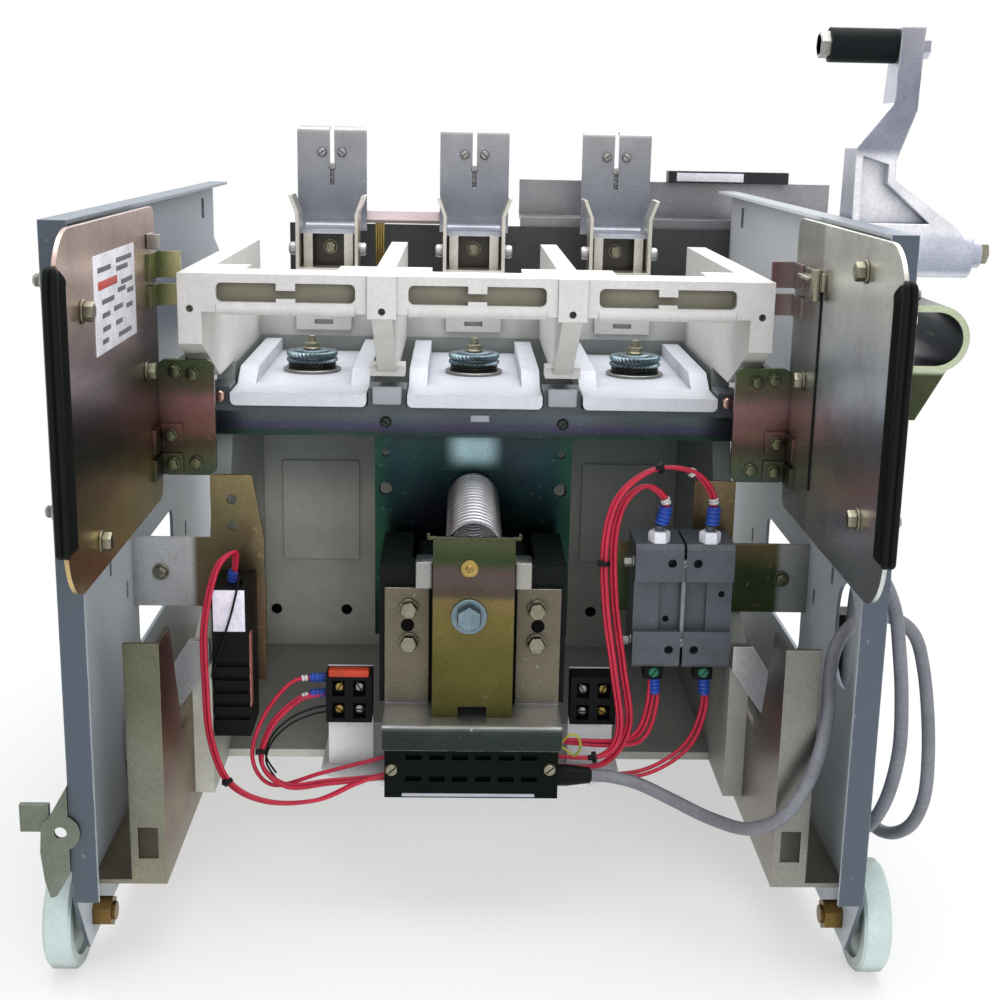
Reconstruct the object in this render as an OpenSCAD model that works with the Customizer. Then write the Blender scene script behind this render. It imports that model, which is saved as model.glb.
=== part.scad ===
// Three-pole vacuum contactor on a draw-out truck, in millimetres.
// X runs across the truck, Y from the control side to the back, Z up from the floor.

/* [Poles] */
// Distance between the centres of neighbouring poles
pole_pitch = 130; // [120:1:150]
// Thickness of the moulding's two inner walls
mid_wall_t = 14; // [12:1:18]
// Thickness of the moulding's two end walls
end_wall_t = 16; // [12:1:20]
// Height of the moulding's top above the floor
mould_top = 433; // [430:1:440]
// Height of the moulding's lower edge above the floor
mould_low = 352; // [350:1:360]
// Distance from the plates' front edge to the moulding's front
mould_front = 161; // [155:1:165]
// Depth of the moulding, front to back
mould_d = 309; // [300:1:320]
// Thickness of the moulding's back walls
back_wall_t = 14; // [10:1:16]
// Depth of the deck along the moulding's front
deck_d = 71; // [60:1:80]
// Thickness of the deck and of the front beam
deck_t = 6; // [4:1:8]

/* [Truck] */
// Gap between the moulding's side and the barrier panel
side_gap = 17.75; // [16:0.25:24]
// Gap between the barrier panel and the side plate
panel_gap = 24.25; // [20:0.25:30]
// Thickness of the side plates
plate_t = 2.5; // [2:0.5:4]
// Thickness of the barrier panels
panel_t = 2.5; // [2:0.5:4]
// Room for the contacts between the moulding's back and the plates' rear edge
rear_room = 130; // [125:1:150]
// Reach of the plates' lower part behind their upper rear edge
heel_l = 40; // [36:1:50]
// Height of the side plates' top edge
plate_top = 477; // [475:1:490]
// Height of the side plates' lower edge
plate_low = 8; // [4:1:12]
// Width of the flange turned inward on the plates' front and top
flange_w = 16; // [12:1:20]
// Reach of the barrier panels in front of the side plates
panel_reach = 80; // [70:1:90]
// Height of the barrier panels' lower edge
panel_low = 273; // [265:1:285]

/* [Wheels] */
// Diameter of the wheels
wheel_d = 74; // [66:1:80]
// Width of the wheels
wheel_w = 18; // [14:1:22]
// Diameter of the wheel axles
axle_d = 12; // [10:1:14]
// Distance of the front axle behind the plates' front edge
axle_inset = 43; // [42:1:50]

/* [Drive] */
// Diameter of the crossbar's pivot shaft
shaft_d = 12; // [10:1:14]
// Height of the pivot shaft's axis
pivot_z = 335; // [334:1:336]
// Width of each contact carrier
carrier_w = 100; // [90:1:102]
// Thickness of the contact carriers
carrier_t = 9.5; // [8:0.5:11]
// Diameter of the serrated adjusting discs
disc_d = 44; // [38:1:48]
// Width of the armature's tongue
armature_w = 150; // [136:1:156]
// Outer diameter of the opening spring
spring_d = 38; // [32:1:40]
// Diameter of the opening spring's wire
spring_wire = 3.5; // [2.5:0.5:4]
// Number of turns in the opening spring
spring_turns = 17; // [12:1:18]
// Width of the magnet core
magnet_w = 132; // [124:1:140]
// Height of the magnet core
magnet_h = 101; // [90:1:102]

/* [Handle] */
// Length of the handle from the hub's axis to the grip's axis
handle_r = 138; // [130:1:150]
// Diameter of the handle's hub
hub_d = 36; // [32:1:40]
// Diameter of the stub shaft that the hub turns on
stub_d = 16; // [14:1:20]
// Diameter of the grip
grip_d = 23; // [20:1:26]
// Length of the grip
grip_l = 45; // [40:1:48]

/* [Cables] */
// Outer diameter of the control cable
cable_d = 9; // [8:0.5:9]
// Outer diameter of the red control wires
wire_d = 3.3; // [2.5:0.1:3.5]

/* [Hidden] */
$fn = 48;

// Running clearance of a pin in its bore, on the radius
run = 0.05;
// Clearance where a turning or sprung piece meets its seat
seat = 0.3;
// Clearance where the end of a wire or cable meets its terminal
wire_seat = 0.7;
// Room kept round everything that moves
room = 5;
// Overshoot of a cut beyond the face that it leaves
cut = 1;
arc_steps = 6;

// Places across the truck, worked out from the poles outward
poles = [-pole_pitch, 0, pole_pitch];
mould_x = 1.5 * pole_pitch + end_wall_t / 2;
panel_in = mould_x + side_gap;
panel_out = panel_in + panel_t;
plate_in = panel_out + panel_gap;
plate_out = plate_in + plate_t;
mould_back = mould_front + mould_d;
wall_back_y = mould_back - back_wall_t;
plate_d = mould_back + rear_room;
plate_rear = plate_d + heel_l;

// Side plates: the front and rear toes, the rear heel and the lightening window
toe = 26;
toe_h = 46;
heel_z = 425;
heel_drop = 20;
window_lo = [210, 150];
window_hi = [350, 222];
window_r = 10;
small_slots = [[127, 236], [175, 205], [406, 189], [150, 110], [420, 330], [300, 290]];
slot_l = 14;
slot_w = 6;
top_slot_in = [60, 22];
top_slot = [plate_d, plate_top] - top_slot_in;
cable_hole = [85, 207];
cable_hole_w = 50;
cable_hole_h = 72;

// Barrier panels and their edge trim
panel_rear = 182;
panel_front_r = 34;
panel_rear_r = 10;
panel_top = plate_top - 1;
trim_lip = 8;
trim_bulb = 7;
trim_bulb_half = 5;
trim_web_half = 3.5;
trim_inner = 5;
trim_inner_half = 6;
trim_d = 22;
trim_turn_top = 20;
trim_turn_low = 8;
spacer_d = 14;
spacer_spots = [[30, 440], [150, 367], [30, 300]];

// Guide rails inside the lower part of the side plates
rail_w = 48.5;
rail_t = 3;
rail_in = plate_in - rail_w;
rail_front = 40;
rail_low = 46;
rail_post = 212;
rail_top = 125;
rail_back = plate_d - 40;
rail_step = 35;
rail_lip = 23;
rail_slot = [13, 22];
rail_slot_z = 64;

// Wheels and axles
wheel_r = wheel_d / 2;
axle_z = 25;
floor_z = axle_z - wheel_r;
wheel_gap = room;
wheel_in = plate_out + wheel_gap;
wheel_out = wheel_in + wheel_w;
axle_rear = plate_rear - axle_inset;
axle_nut_l = 12;
axle_head_l = 5;
wheel_hub_d = axle_d + 12;
wheel_rim_t = 9;
wheel_dish = 3;
wheel_edge = 2;

// Pole moulding: beam, windows, blocks and back wall
window_w = 94;
window_low = 414;
window_corner_r = 4;
sill_d = 9;
beam_low = 407;
block_w = 20;
block_low = 404;
block_d = 20;
block_proud = 2;
end_low = 385;
end_slope_y = 74;
mid_slope_y = 84;
foot_w = 26;
foot_d = 22;
foot_h = 8;
screw_d = 5;
screw_z = 409;
screw_l = 14;
notch_w = 64;
notch_l = 32;
notch_h = 3;
bay_back_top = 400;
tab_w = 48;
tab_h = 14;
tab_d = 8;
tab_slot = [16, 4];
nib_w = 13;
nib_h = 5;
sill_nib_h = 2.5;

// Base moulding
cheek_room = 5;
cheek_front = 150;
cheek_low = 60;
cheek_in = pole_pitch + carrier_w / 2 + cheek_room;
cheek_t = rail_in - cheek_in;
leg_top = 165;
slope_y1 = 230;
slope_z1 = 200;
slope_y2 = 300;
shelf_front = 215;
shelf_t = 6;
shelf_top = cheek_low + shelf_t;
pad_t = 3;
pad_lo = [100, 149];
pad_hi = [168, 240];
wall_hole_d = 10;
wall_hole_z = 100;
wall_holes = [-176, -112, 112, 176];
bottle_shelf = 132;
bottle_shelf_t = 12;
bottle_shelf_reach = 120;
bottle_shelf_back = mould_back + bottle_shelf_reach;

// Pivoting crossbar and what rides on it
bar_y = 238;
bar_d = 30;
bar_top = 343;
bar_low = 325;
bar_half = mould_x - room - 1;
pivot_y = bar_y + bar_d / 2;
carrier_z = 330;
carrier_top = carrier_z + carrier_t;
carrier_front = 232;
carrier_back = wall_back_y - room - 1;
rib_w = 14;
rib_h = 10.5;
rib_front = 272;
rib_ramp = 20;
carrier_play = 1;
carrier_r = 4;
adjuster_y = 342;
washer_d = disc_d + 2;
washer_t = 2.5;
bellows_h = 5;
disc_t = 4;
disc_low_t = 3;
disc_neck_t = 1.5;
disc_neck_d = disc_d - 8;
disc_teeth = 36;
tooth_h = 1;
stud_d = 9;
stud_h = 12.5;

// Bearing brackets and panel tabs
bracket_t = 4;
bracket_y = 176;
bracket_low = 290;
bracket_top = 372;
bracket_in = 182;
bracket_back = 278;
shaft_end = 5;
tab_t = 2.5;
tab_y = 178;
tab_leg = 28;
tab_rows = [[428, 446], [409, 424]];
strap_rows = [[311, 327], [291, 306]];
strap_reach = 16;

// Armature, opening spring and magnet
band_h = 18;
band_d = 20;
armature_y = 258;
armature_t = 6;
armature_low = 145;
armature_lip = 30;
armature_lip_t = 3;
armature_holes = [[67, 290, 6], [67, 262, 10]];
spring_z = 258;
frame_y = 120;
frame_t = 3;
frame_half = 28;
frame_top = 262;
base_z = 126;
base_t = 6;
frame_slot = [20, 8];
bolt_hole_d = 11;
bolt_hole_z = 207;
core_low = base_z + base_t;
core_front = 150;
core_back = 240;
core_yoke = 20;
core_leg = 22;
coil_gap = 2;
coil_back = 236;
ear_in = 31;
ear_out = 62;
ear_t = 4;
ear_top = 218;
ear_holes = [[45, 178], [45, 203]];
ear_hole_d = 9;
lip_front = 98;
lip_t = 3;
lip_drop = 10;
lip_bend_r = 8;
cover_half = 60;
cover_front = lip_front + lip_t;
cover_low = 80;
cover_step_y = 150;
cover_back = 190;
cover_slot = [11, 4];
cover_slot_pitch = 16;
cover_rows = [92, 108];
cover_slot_depth = 5;
plinth_half = 110;
plinth_y = 150;
plinth_back = 260;
plinth_t = 4;
plinth_top = shelf_top + plinth_t;
post_t = 3;
post_y = 180;
block_room = 6;
block_in = magnet_w / 2 + block_room;
block_len = 33;
block_z = 111;
block_h = 36;
block_deep = 20;
block_cut = [9, 14];

// Auxiliary switches, relay and their brackets
aux_y = 150;
aux_d = 45;
aux_w = 34;
aux_gap = 2;
aux_x = cheek_in - 2 * aux_w - aux_gap - 1;
aux_z = 159;
aux_h = 91;
aux_edge = 3;
aux_block = 27;
aux_recess = 5;
aux_channel = 4;
aux_channel_w = 16;
aux_hole_d = 6.4;
aux_hole_depth = 12;
aux_hole_in = 8;
post_d = 7;
post_h = 12;
aux_post_y = 160;
strap_y = aux_y + aux_d;
strap_t = 3;
strap_low = 187;
strap_top = 239;
strap_in = 95;
horn_top = 286;
horn_w = 30;
horn_x = 160;
relay_w = 26;
relay_z = 104;
relay_h = 111;
relay_x = cheek_in - 1;
relay_rib = 3;
relay_rib_low = 12;
relay_rib_pitch = 10;
relay_rib_n = 5;
relay_rib_h = 4;
strap_rise = 26;
strap_bolt_z = 213;
strap_bolt_in = 20;
horn_bolt_z = 262;
strap_hole_d = 7;

// Struts between the base moulding and the side plates
strut_t = 8;
strut_rise = 18;
strut_drop = 74;

// Fuse clips, contact jaws and vacuum bottles at the back
clip_gap = 77;
clip_y = mould_back + clip_gap;
clip_t = 3;
clip_w = 63;
clip_top = 530;
clip_bend = 12;
clip_bend_r = 6;
clip_corner_r = 5;
clip_fillet = 4;
clip_slit = 4;
clip_slit_low = 478;
clip_hole_d = 5;
clip_hole = [9, 507];
clip_foot_gap = 30;
clip_foot_y = mould_back + clip_foot_gap;
foot_z = 437;
foot_t = 4;
jaw_t = 3;
jaw_half = 24.5;
jaw_gap = 14;
jaw_y = mould_back + jaw_gap;
jaw_d = 36;
jaw_top = 471;
jaw_flare = 6;
jaw_neck = 455;
lug_low = 400;
lug_t = 8;
lug_block_d = 35;
lug_reach = 90;
lug_back = mould_back + lug_reach;
finger_in = 14;
finger_w = 8;
finger_t = 3;
bottle_gap = 60;
bottle_y = mould_back + bottle_gap;
bottle_d = 76;
bottle_cap_d = 50;
bottle_cap_h = 18;
bottle_top = 330;
stem_d = 24;
skirt_d = 84;
skirt_n = 4;
skirt_t = 8;
barrier_y = plate_d;
barrier_t = 3;
barrier_low = 330;
barrier_step = 390;
barrier_top = 440;
barrier_left = -175;
tie_low = 444;
tie_h = 11;
tie_d = 10;
shelf_x0 = 45;
shelf_x1 = 350;
shelf_lip_low = 431;
shelf_z = 446;
shelf_sheet = 3;
shelf_d = 37;
shelf_back = barrier_y + barrier_t + shelf_d;
shelf_wall_top = 483;
duct_x0 = 189;
duct_x1 = 306;
duct_h = 11;
duct_d = 18;

// Operating handle on the right side plate
handle_y = 200;
handle_z = 453;
hub_in = plate_out + 7;
hub_l = 87;
hub_out = hub_in + hub_l;
stub_washer_d = 32;
stub_head_d = 22;
stub_head_l = 7;
arm_low_w = 38;
arm_top_w = 26;
arm_t = 16;
arm_foot_t = 28;
arm_knee_z = 70;
arm_lean = 24;
arm_over = 12;
arm_rim = 5;
arm_web_half = 6;
web_x = 74;
web_z = 17;
pin_d = 10;
pin_head_d = 16;
pin_head_l = 6;
pin_nut_l = 7;
grip_play = 1;
grip_out = hub_in + arm_lean + 2 - grip_play;
grip_in = grip_out - grip_l;
grip_z = handle_z + handle_r;

// U-shaped hook bracket on the right side plate, and the latch plate on the left one
hook_y = 20;
hook_l = 92;
hook_z = 415;
hook_r = 20;
hook_t = 4;
hook_arm = 21;
gusset_t = 4;
gusset_low = 366;
gusset_w = 12;
latch_t = 3;
latch_w = 18;
latch_top = 134;
latch_low = 59;
latch_hole = [5, 103];
latch_hole_d = 8;
latch_shoulder = 30;
latch_waist = 44;
latch_boss_d = 24;
latch_tab = [30, 103, 121];
latch_tab_in = 12;

// Routes of the wires and the control cable, points chosen by hand
gland_y = 118;
gland_z = 90;
gland_l = 24;
gland_d = 15;
wire_ends = cover_half + wire_seat;
right_wires = [
  [[aux_x + aux_w * 1.5 + aux_gap, 160, aux_z + aux_h + post_h + wire_seat], [166, 160, 284], [150, 154, 302],
   [122, 150, 304], [98, 148, 284], [90, 146, 250], [92, 142, 206], [99, 138, 160], [104, 134, 118],
   [92, 132, 99], [wire_ends, 132, 98]],
  [[aux_x + aux_w / 2, 160, aux_z + aux_h + post_h + wire_seat], [133, 160, 280], [118, 156, 291],
   [103, 155, 278], [97, 154, 250], [99, 149, 206], [106, 145, 160], [111, 141, 118], [94, 139, 90],
   [wire_ends, 139, 88]],
  [[aux_x + aux_w / 2, 165, aux_z - wire_seat], [132, 164, 130], [124, 158, 106], [106, 150, 102],
   [wire_ends, 148, 104]],
  [[aux_x + aux_w * 1.5 + aux_gap, 165, aux_z - wire_seat], [168, 162, 125], [156, 156, 98], [128, 148, 82],
   [95, 146, 78], [wire_ends, 146, 80]]
];
left_wires = [
  [[-relay_x + relay_w / 2, 165, relay_z + relay_h + wire_seat], [-169, 158, 238], [-180, 144, 230],
   [-188, 136, 192], [-188, 134, 150], [-185, 131, 110], [-172, 124, 80], [-145, 118, 68],
   [-110, 116, 70], [-82, 118, 82], [-wire_ends, 118, 90]],
  [[-block_in - block_len - wire_seat, 170, 130], [-125, 164, 128], [-144, 152, 112], [-150, 141, 88],
   [-131, 130, 76], [-100, 128, 80], [-wire_ends, 128, 84]],
  [[-block_in - block_len - wire_seat, 172, 141], [-130, 167, 139], [-150, 153, 116], [-156, 141, 90],
   [-141, 137, 72], [-105, 137, 82], [-wire_ends, 138, 94]]
];
cable_route = [
  [cover_half + gland_l + wire_seat, gland_y, gland_z], [99, gland_y, gland_z - 1], [118, 113, 86],
  [140, 98, 81], [162, 72, 80], [183, 42, 87], [203, 27, 105], [218, 27, 134], [228, 39, 163],
  [232, 56, 187], [238, 68, 205], [250, 77, 217], [267, 84, 221], [284, 89, 217], [298, 93, 204],
  [305, 92, 183], [307, 81, 156], [305, 65, 129], [302, 57, 103], [297, 64, 80], [289, 82, 65],
  [281, 100, 64], [275, 118, 79], [269, 126, 106], [266, 130, 139], [265, 132, 175], [265, 131, 208],
  [265, 125, 231], [266, 111, 245], [268, 92, 250], [270, 73, 245], [273, 59, 231], [275, 52, 210],
  [277, 45, 180], [277, 40, 144], [273, 45, 108], [268, 64, 79], [265, 92, 67], [264, 122, 75],
  [264, 146, 99], [264, 156, 128], [264, 158, 150]
];
clip_spot = [268, 92, 250];
clip_l = 8;
clip_h = 15;
clip_bore = cable_d + 1.6;
plug_spot = [264, 158, 150];
plug_w = 20;
plug_l = 50;
strap_l = 12;
strap_wall = 2.5;

// The origin is the middle of the floor under the part's own bounding box
far_left = -(plate_out + latch_tab[0]);
far_right = hub_out + stub_head_l + grip_play;
far_front = -panel_reach - trim_lip;
far_back = max(shelf_back + shelf_sheet, plate_rear);
origin = [(far_left + far_right) / 2, (far_front + far_back) / 2, floor_z];

// Moves a finished sub-part from the truck's own axes to the part's origin
module place() translate(-origin) children();

// Gives the mirror image across the truck's middle plane
module mirrored() mirror([1, 0, 0]) children();

// Flat outlines drawn in a named plane and thickened along the third axis
module yz(x, t) translate([x, 0, 0]) rotate([90, 0, 90]) linear_extrude(t) children();
module xz(y, t) translate([0, y + t, 0]) rotate([90, 0, 0]) linear_extrude(t) children();

// Box between two opposite corners
module box(a, b) translate(a) cube(b - a);

// Round bars along X, along Y and along Z
module bar_x(x0, x1, y, z, d) translate([x0, y, z]) rotate([0, 90, 0]) cylinder(d = d, h = x1 - x0);
module bar_y(x, y0, y1, z, d) translate([x, y0, z]) rotate([-90, 0, 0]) cylinder(d = d, h = y1 - y0);
module bar_z(x, y, z0, z1, d) translate([x, y, z0]) cylinder(d = d, h = z1 - z0);

// Rectangle with a radius for each corner, from lower left round to upper left
module rounded(a, b, r) {
  polygon([[a.x + r[0], a.y], [b.x - r[1], a.y], [b.x, a.y + r[1]], [b.x, b.y - r[2]],
           [b.x - r[2], b.y], [a.x + r[3], b.y], [a.x, b.y - r[3]], [a.x, a.y + r[0]]]);
  translate([a.x + r[0], a.y + r[0]]) circle(r[0]);
  translate([b.x - r[1], a.y + r[1]]) circle(r[1]);
  translate([b.x - r[2], b.y - r[2]]) circle(r[2]);
  translate([a.x + r[3], b.y - r[3]]) circle(r[3]);
}

// Points along an arc, from one angle to another, for rounded outlines
function arc(c, r, from, to) = [
  for (i = [0 : arc_steps]) let (a = from + (to - from) * i / arc_steps) c + r * [cos(a), sin(a)]
];

// Slot with round ends, centred, its long side upright
module upright_slot(w, h) {
  square([w, h - w], center = true);
  for (side = [-1, 1]) translate([0, side * (h - w) / 2]) circle(d = w);
}

// Smooth curve through a list of points, with extra points between them
function unit(v) = v / norm(v);
function curve_point(a, b, c, d, t) =
  0.5 * (2 * b + (c - a) * t + (2 * a - 5 * b + 4 * c - d) * t * t + (3 * b - a - 3 * c + d) * t * t * t);
function curve(p, steps) = concat(
  [for (i = [0 : len(p) - 2], s = [0 : steps - 1])
    curve_point(p[max(i - 1, 0)], p[i], p[i + 1], p[min(i + 2, len(p) - 1)], s / steps)],
  [p[len(p) - 1]]);

// Directions along a path, and normals carried along it without twist
function headings(p) = [for (i = [0 : len(p) - 1]) unit(p[min(i + 1, len(p) - 1)] - p[max(i - 1, 0)])];
function carried(n, d) = unit(n - (n * d) * d);
function normals(dirs, i, n) = i == len(dirs) ? []
  : concat([carried(n, dirs[i])], normals(dirs, i + 1, carried(n, dirs[i])));

// Round tube with closed ends, swept along a path
module tube(path, d, sides, first_normal) {
  dirs = headings(path);
  ups = normals(dirs, 0, first_normal);
  rings = len(path);
  points = [for (i = [0 : rings - 1], k = [0 : sides - 1])
    let (a = 360 * k / sides)
      path[i] + d / 2 * (cos(a) * ups[i] + sin(a) * cross(dirs[i], ups[i]))];
  walls = [for (i = [0 : rings - 2], k = [0 : sides - 1], half = [0, 1])
    let (n = (k + 1) % sides, low = i * sides, high = low + sides)
      half == 0 ? [low + k, high + k, high + n] : [low + k, high + n, low + n]];
  near = [for (k = [0 : sides - 1]) k];
  far = [for (k = [sides - 1 : -1 : 0]) (rings - 1) * sides + k];
  polyhedron(points, concat(walls, [near, far]));
}

// Side plate of the right side: web, front and top flanges, window and slots
module plate_body() {
  difference() {
    union() {
      yz(plate_in, plate_t) polygon([[0, plate_low + toe_h], [toe, plate_low],
        [plate_rear - toe, plate_low], [plate_rear, plate_low + toe_h], [plate_rear, heel_z - heel_drop],
        [plate_d, heel_z], [plate_d, plate_top], [0, plate_top]]);
      box([plate_out - flange_w, 0, plate_low + toe_h], [plate_out, plate_t, plate_top]);
      box([plate_out - flange_w, 0, plate_top - plate_t], [plate_out, plate_d, plate_top]);
    }
    yz(plate_in - cut, plate_t + 2 * cut) {
      rounded(window_lo, window_hi, [window_r, window_r, window_r, window_r]);
      for (spot = small_slots) translate(spot) upright_slot(slot_w, slot_l);
      translate(top_slot) square([slot_l, slot_l + 4], center = true);
      for (y = [axle_inset, axle_rear]) translate([y, axle_z]) circle(d = axle_d + 2 * run);
    }
  }
}

module left_side_plate() place() color("slategray") mirrored() plate_body();

module right_side_plate() place() color("slategray") difference() {
  plate_body();
  yz(plate_in - cut, plate_t + 2 * cut) {
    translate(cable_hole) upright_slot(cable_hole_w, cable_hole_h);
    translate([handle_y, handle_z]) circle(d = stub_d + 2 * run);
  }
}

// Barrier panel of the right side
module panel_body() yz(panel_in, panel_t)
  rounded([-panel_reach, panel_low], [panel_rear, panel_top],
          [panel_front_r, panel_rear_r, panel_rear_r, panel_front_r]);

module left_panel() place() color("rosybrown") mirrored() panel_body();

module right_panel() place() color("silver") panel_body();

// Band of the edge trim between two distances from the panel's corner centres
module trim_band(from, to, half) {
  high = [-panel_reach + panel_front_r, panel_top - panel_front_r];
  low = [-panel_reach + panel_front_r, panel_low + panel_front_r];
  yz(panel_in + panel_t / 2 - half, 2 * half)
    polygon(concat(arc(high, to, 180 - trim_turn_top, 180), arc(low, to, 180, 180 + trim_turn_low),
                   arc(low, from, 180 + trim_turn_low, 180), arc(high, from, 180, 180 - trim_turn_top)));
}

// Rubber channel on the panel's front edge: outer bulb, web and inner lip
module trim_body() {
  outer = panel_front_r + trim_lip;
  inner = outer - trim_d;
  difference() {
    union() {
      trim_band(outer - trim_bulb, outer, trim_bulb_half);
      trim_band(inner + trim_inner - cut, outer - trim_bulb + cut, trim_web_half);
      trim_band(inner, inner + trim_inner, trim_inner_half);
    }
    box([panel_in, -panel_reach, panel_low], [panel_out, panel_rear, panel_top]);
  }
}

module edge_trims() place() color("black") {
  trim_body();
  mirrored() trim_body();
}

module panel_spacers() place() color("lightsteelblue") for (side = [0, 1], spot = spacer_spots)
  mirror([side, 0, 0]) bar_x(panel_out, plate_in, spot.x, spot.y, spacer_d);

// Guide rail of the right side: upright web, front lip and lower flange
module rail_body() {
  yz(rail_in, rail_t) polygon([[rail_front, rail_low], [rail_front, rail_post],
    [rail_front + rail_step, rail_post], [rail_front + 2 * rail_step, rail_top],
    [rail_back, rail_top], [rail_back, rail_low]]);
  difference() {
    box([rail_in, rail_front, rail_low], [rail_in + rail_lip, rail_front + rail_t, rail_post]);
    box([rail_in + rail_lip / 2 - rail_slot[0] / 2, rail_front - cut, rail_slot_z],
        [rail_in + rail_lip / 2 + rail_slot[0] / 2, rail_front + rail_t + cut, rail_slot_z + rail_slot[1]]);
  }
  box([rail_in, rail_front, rail_low], [plate_in, rail_back, rail_low + rail_t]);
}

module left_rail() place() color("peru") mirrored() rail_body();

module right_rail() place() color("peru") rail_body();

// Slanted arm from the base moulding's leg out to the side plate
module strut_body() xz(cheek_front - strut_t, strut_t)
  polygon([[cheek_in, leg_top + 13], [rail_in, leg_top + 13], [plate_in, leg_top + 13 - strut_drop],
           [plate_in, leg_top - 3 - strut_drop], [plate_in - 12, leg_top - 3 - strut_drop],
           [cheek_in, leg_top + 13 - strut_rise]]);

module struts() place() color("ivory") {
  strut_body();
  mirrored() strut_body();
}

// One axle bolt with its inner nut, outer collar and head
module axle_body(y) {
  bar_x(plate_in - axle_nut_l - 2, wheel_out + seat + axle_head_l, y, axle_z, axle_d);
  translate([plate_in - axle_nut_l, y, axle_z]) rotate([0, 90, 0])
    cylinder(d = axle_d + 9, h = axle_nut_l, $fn = 6);
  bar_x(plate_out, wheel_in - seat, y, axle_z, axle_d + 6);
  bar_x(wheel_out + seat, wheel_out + seat + axle_head_l, y, axle_z, axle_d + 6);
}

module axles() place() color("goldenrod") for (side = [0, 1], y = [axle_inset, axle_rear])
  mirror([side, 0, 0]) axle_body(y);

// Dished wheel, turned from one profile
module wheel_body(y) translate([wheel_in, y, axle_z]) rotate([0, 90, 0]) rotate_extrude()
  polygon([[axle_d / 2 + run, 0], [wheel_hub_d / 2, 0], [wheel_hub_d / 2, wheel_dish],
           [wheel_r - wheel_rim_t, wheel_dish], [wheel_r - wheel_rim_t, 0], [wheel_r - wheel_edge, 0],
           [wheel_r, wheel_edge], [wheel_r, wheel_w - wheel_edge], [wheel_r - wheel_edge, wheel_w],
           [wheel_r - wheel_rim_t, wheel_w], [wheel_r - wheel_rim_t, wheel_w - wheel_dish],
           [wheel_hub_d / 2, wheel_w - wheel_dish], [wheel_hub_d / 2, wheel_w], [axle_d / 2 + run, wheel_w]]);

module wheel_front_left() place() color("gainsboro") mirrored() wheel_body(axle_inset);

module wheel_front_right() place() color("gainsboro") wheel_body(axle_inset);

module wheel_rear_left() place() color("gainsboro") mirrored() wheel_body(axle_rear);

module wheel_rear_right() place() color("gainsboro") wheel_body(axle_rear);

// Upper moulding: four walls, front beam with a window a pole, deck and back wall
module moulding_body() difference() {
  union() {
    for (side = [-1, 1]) {
      yz(side * pole_pitch / 2 - mid_wall_t / 2, mid_wall_t)
        polygon([[mould_front, block_low], [mould_front, mould_top], [mould_back, mould_top],
                 [mould_back, mould_low], [mould_front + mid_slope_y, mould_low]]);
      yz(side * 1.5 * pole_pitch - end_wall_t / 2, end_wall_t)
        polygon([[mould_front, end_low], [mould_front, mould_top], [mould_back, mould_top],
                 [mould_back, mould_low], [mould_front + end_slope_y, mould_low]]);
      translate([side * pole_pitch / 2 - block_w / 2, mould_front - block_proud, block_low])
        cube([block_w, block_d, mould_top - block_low]);
      translate([side * pole_pitch / 2 - foot_w / 2, mould_front + mid_slope_y - 5, mould_low])
        cube([foot_w, foot_d, foot_h]);
    }
    box([-mould_x, mould_front, beam_low], [mould_x, mould_front + deck_t, mould_top]);
    box([-mould_x, mould_front, mould_top - deck_t], [mould_x, mould_front + deck_d, mould_top]);
    box([-mould_x, wall_back_y, mould_low], [mould_x, mould_back, bay_back_top]);
    for (x = poles) {
      translate([x - tab_w / 2, wall_back_y - tab_d, mould_low + 6]) cube([tab_w, tab_d, tab_h]);
      bar_x(x - window_w / 2, x + window_w / 2,
            mould_front + sill_d / 2 - 1, window_low - sill_d / 2, sill_d);
    }
  }
  for (x = poles) {
    xz(mould_front - cut, deck_t + 2 * cut)
      rounded([x - window_w / 2, window_low], [x + window_w / 2, mould_top - deck_t],
              [window_corner_r, window_corner_r, window_corner_r, window_corner_r]);
    box([x - notch_w / 2, mould_front + deck_d - notch_l, mould_top - notch_h],
        [x + notch_w / 2, mould_front + deck_d + cut, mould_top + cut]);
    box([x - tab_slot[0] / 2, wall_back_y - tab_d - cut, mould_low + 11],
        [x + tab_slot[0] / 2, wall_back_y - tab_d / 2, mould_low + 11 + tab_slot[1]]);
  }
  for (side = [-1, 1], half = [0.5, 1.5])
    bar_y(side * half * pole_pitch, mould_front - block_proud - cut, mould_front + screw_l, screw_z, screw_d);
}

// The moulding with the nibs at the middle of each window
module pole_moulding() place() color("linen") {
  moulding_body();
  for (x = poles) {
    translate([x - nib_w / 2, mould_front, mould_top - deck_t - nib_h]) cube([nib_w, deck_t, nib_h + cut]);
    translate([x - nib_w / 2, mould_front, window_low - cut]) cube([nib_w, deck_t, sill_nib_h + cut]);
  }
}

// Lower moulding: back wall with pads, side cheeks, front shelf and rear shelf
module base_moulding() place() color("antiquewhite") difference() {
  union() {
    box([-rail_in, wall_back_y, cheek_low], [rail_in, mould_back, mould_low]);
    for (side = [0, 1]) mirror([side, 0, 0]) {
      yz(cheek_in, cheek_t) polygon([[cheek_front, cheek_low], [cheek_front, leg_top], [slope_y1, slope_z1],
        [slope_y2, mould_low], [wall_back_y + cut, mould_low], [wall_back_y + cut, cheek_low]]);
      box([pad_lo[0], wall_back_y - pad_t, pad_lo[1]], [pad_hi[0], wall_back_y + cut, pad_hi[1]]);
    }
    box([-cheek_in - cut, shelf_front, cheek_low], [cheek_in + cut, wall_back_y + cut, shelf_top]);
    box([-rail_in, mould_back - cut, bottle_shelf - bottle_shelf_t],
        [rail_in, bottle_shelf_back, bottle_shelf]);
  }
  for (x = wall_holes) bar_y(x, wall_back_y - cut, mould_back + cut, wall_hole_z, wall_hole_d);
}

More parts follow.
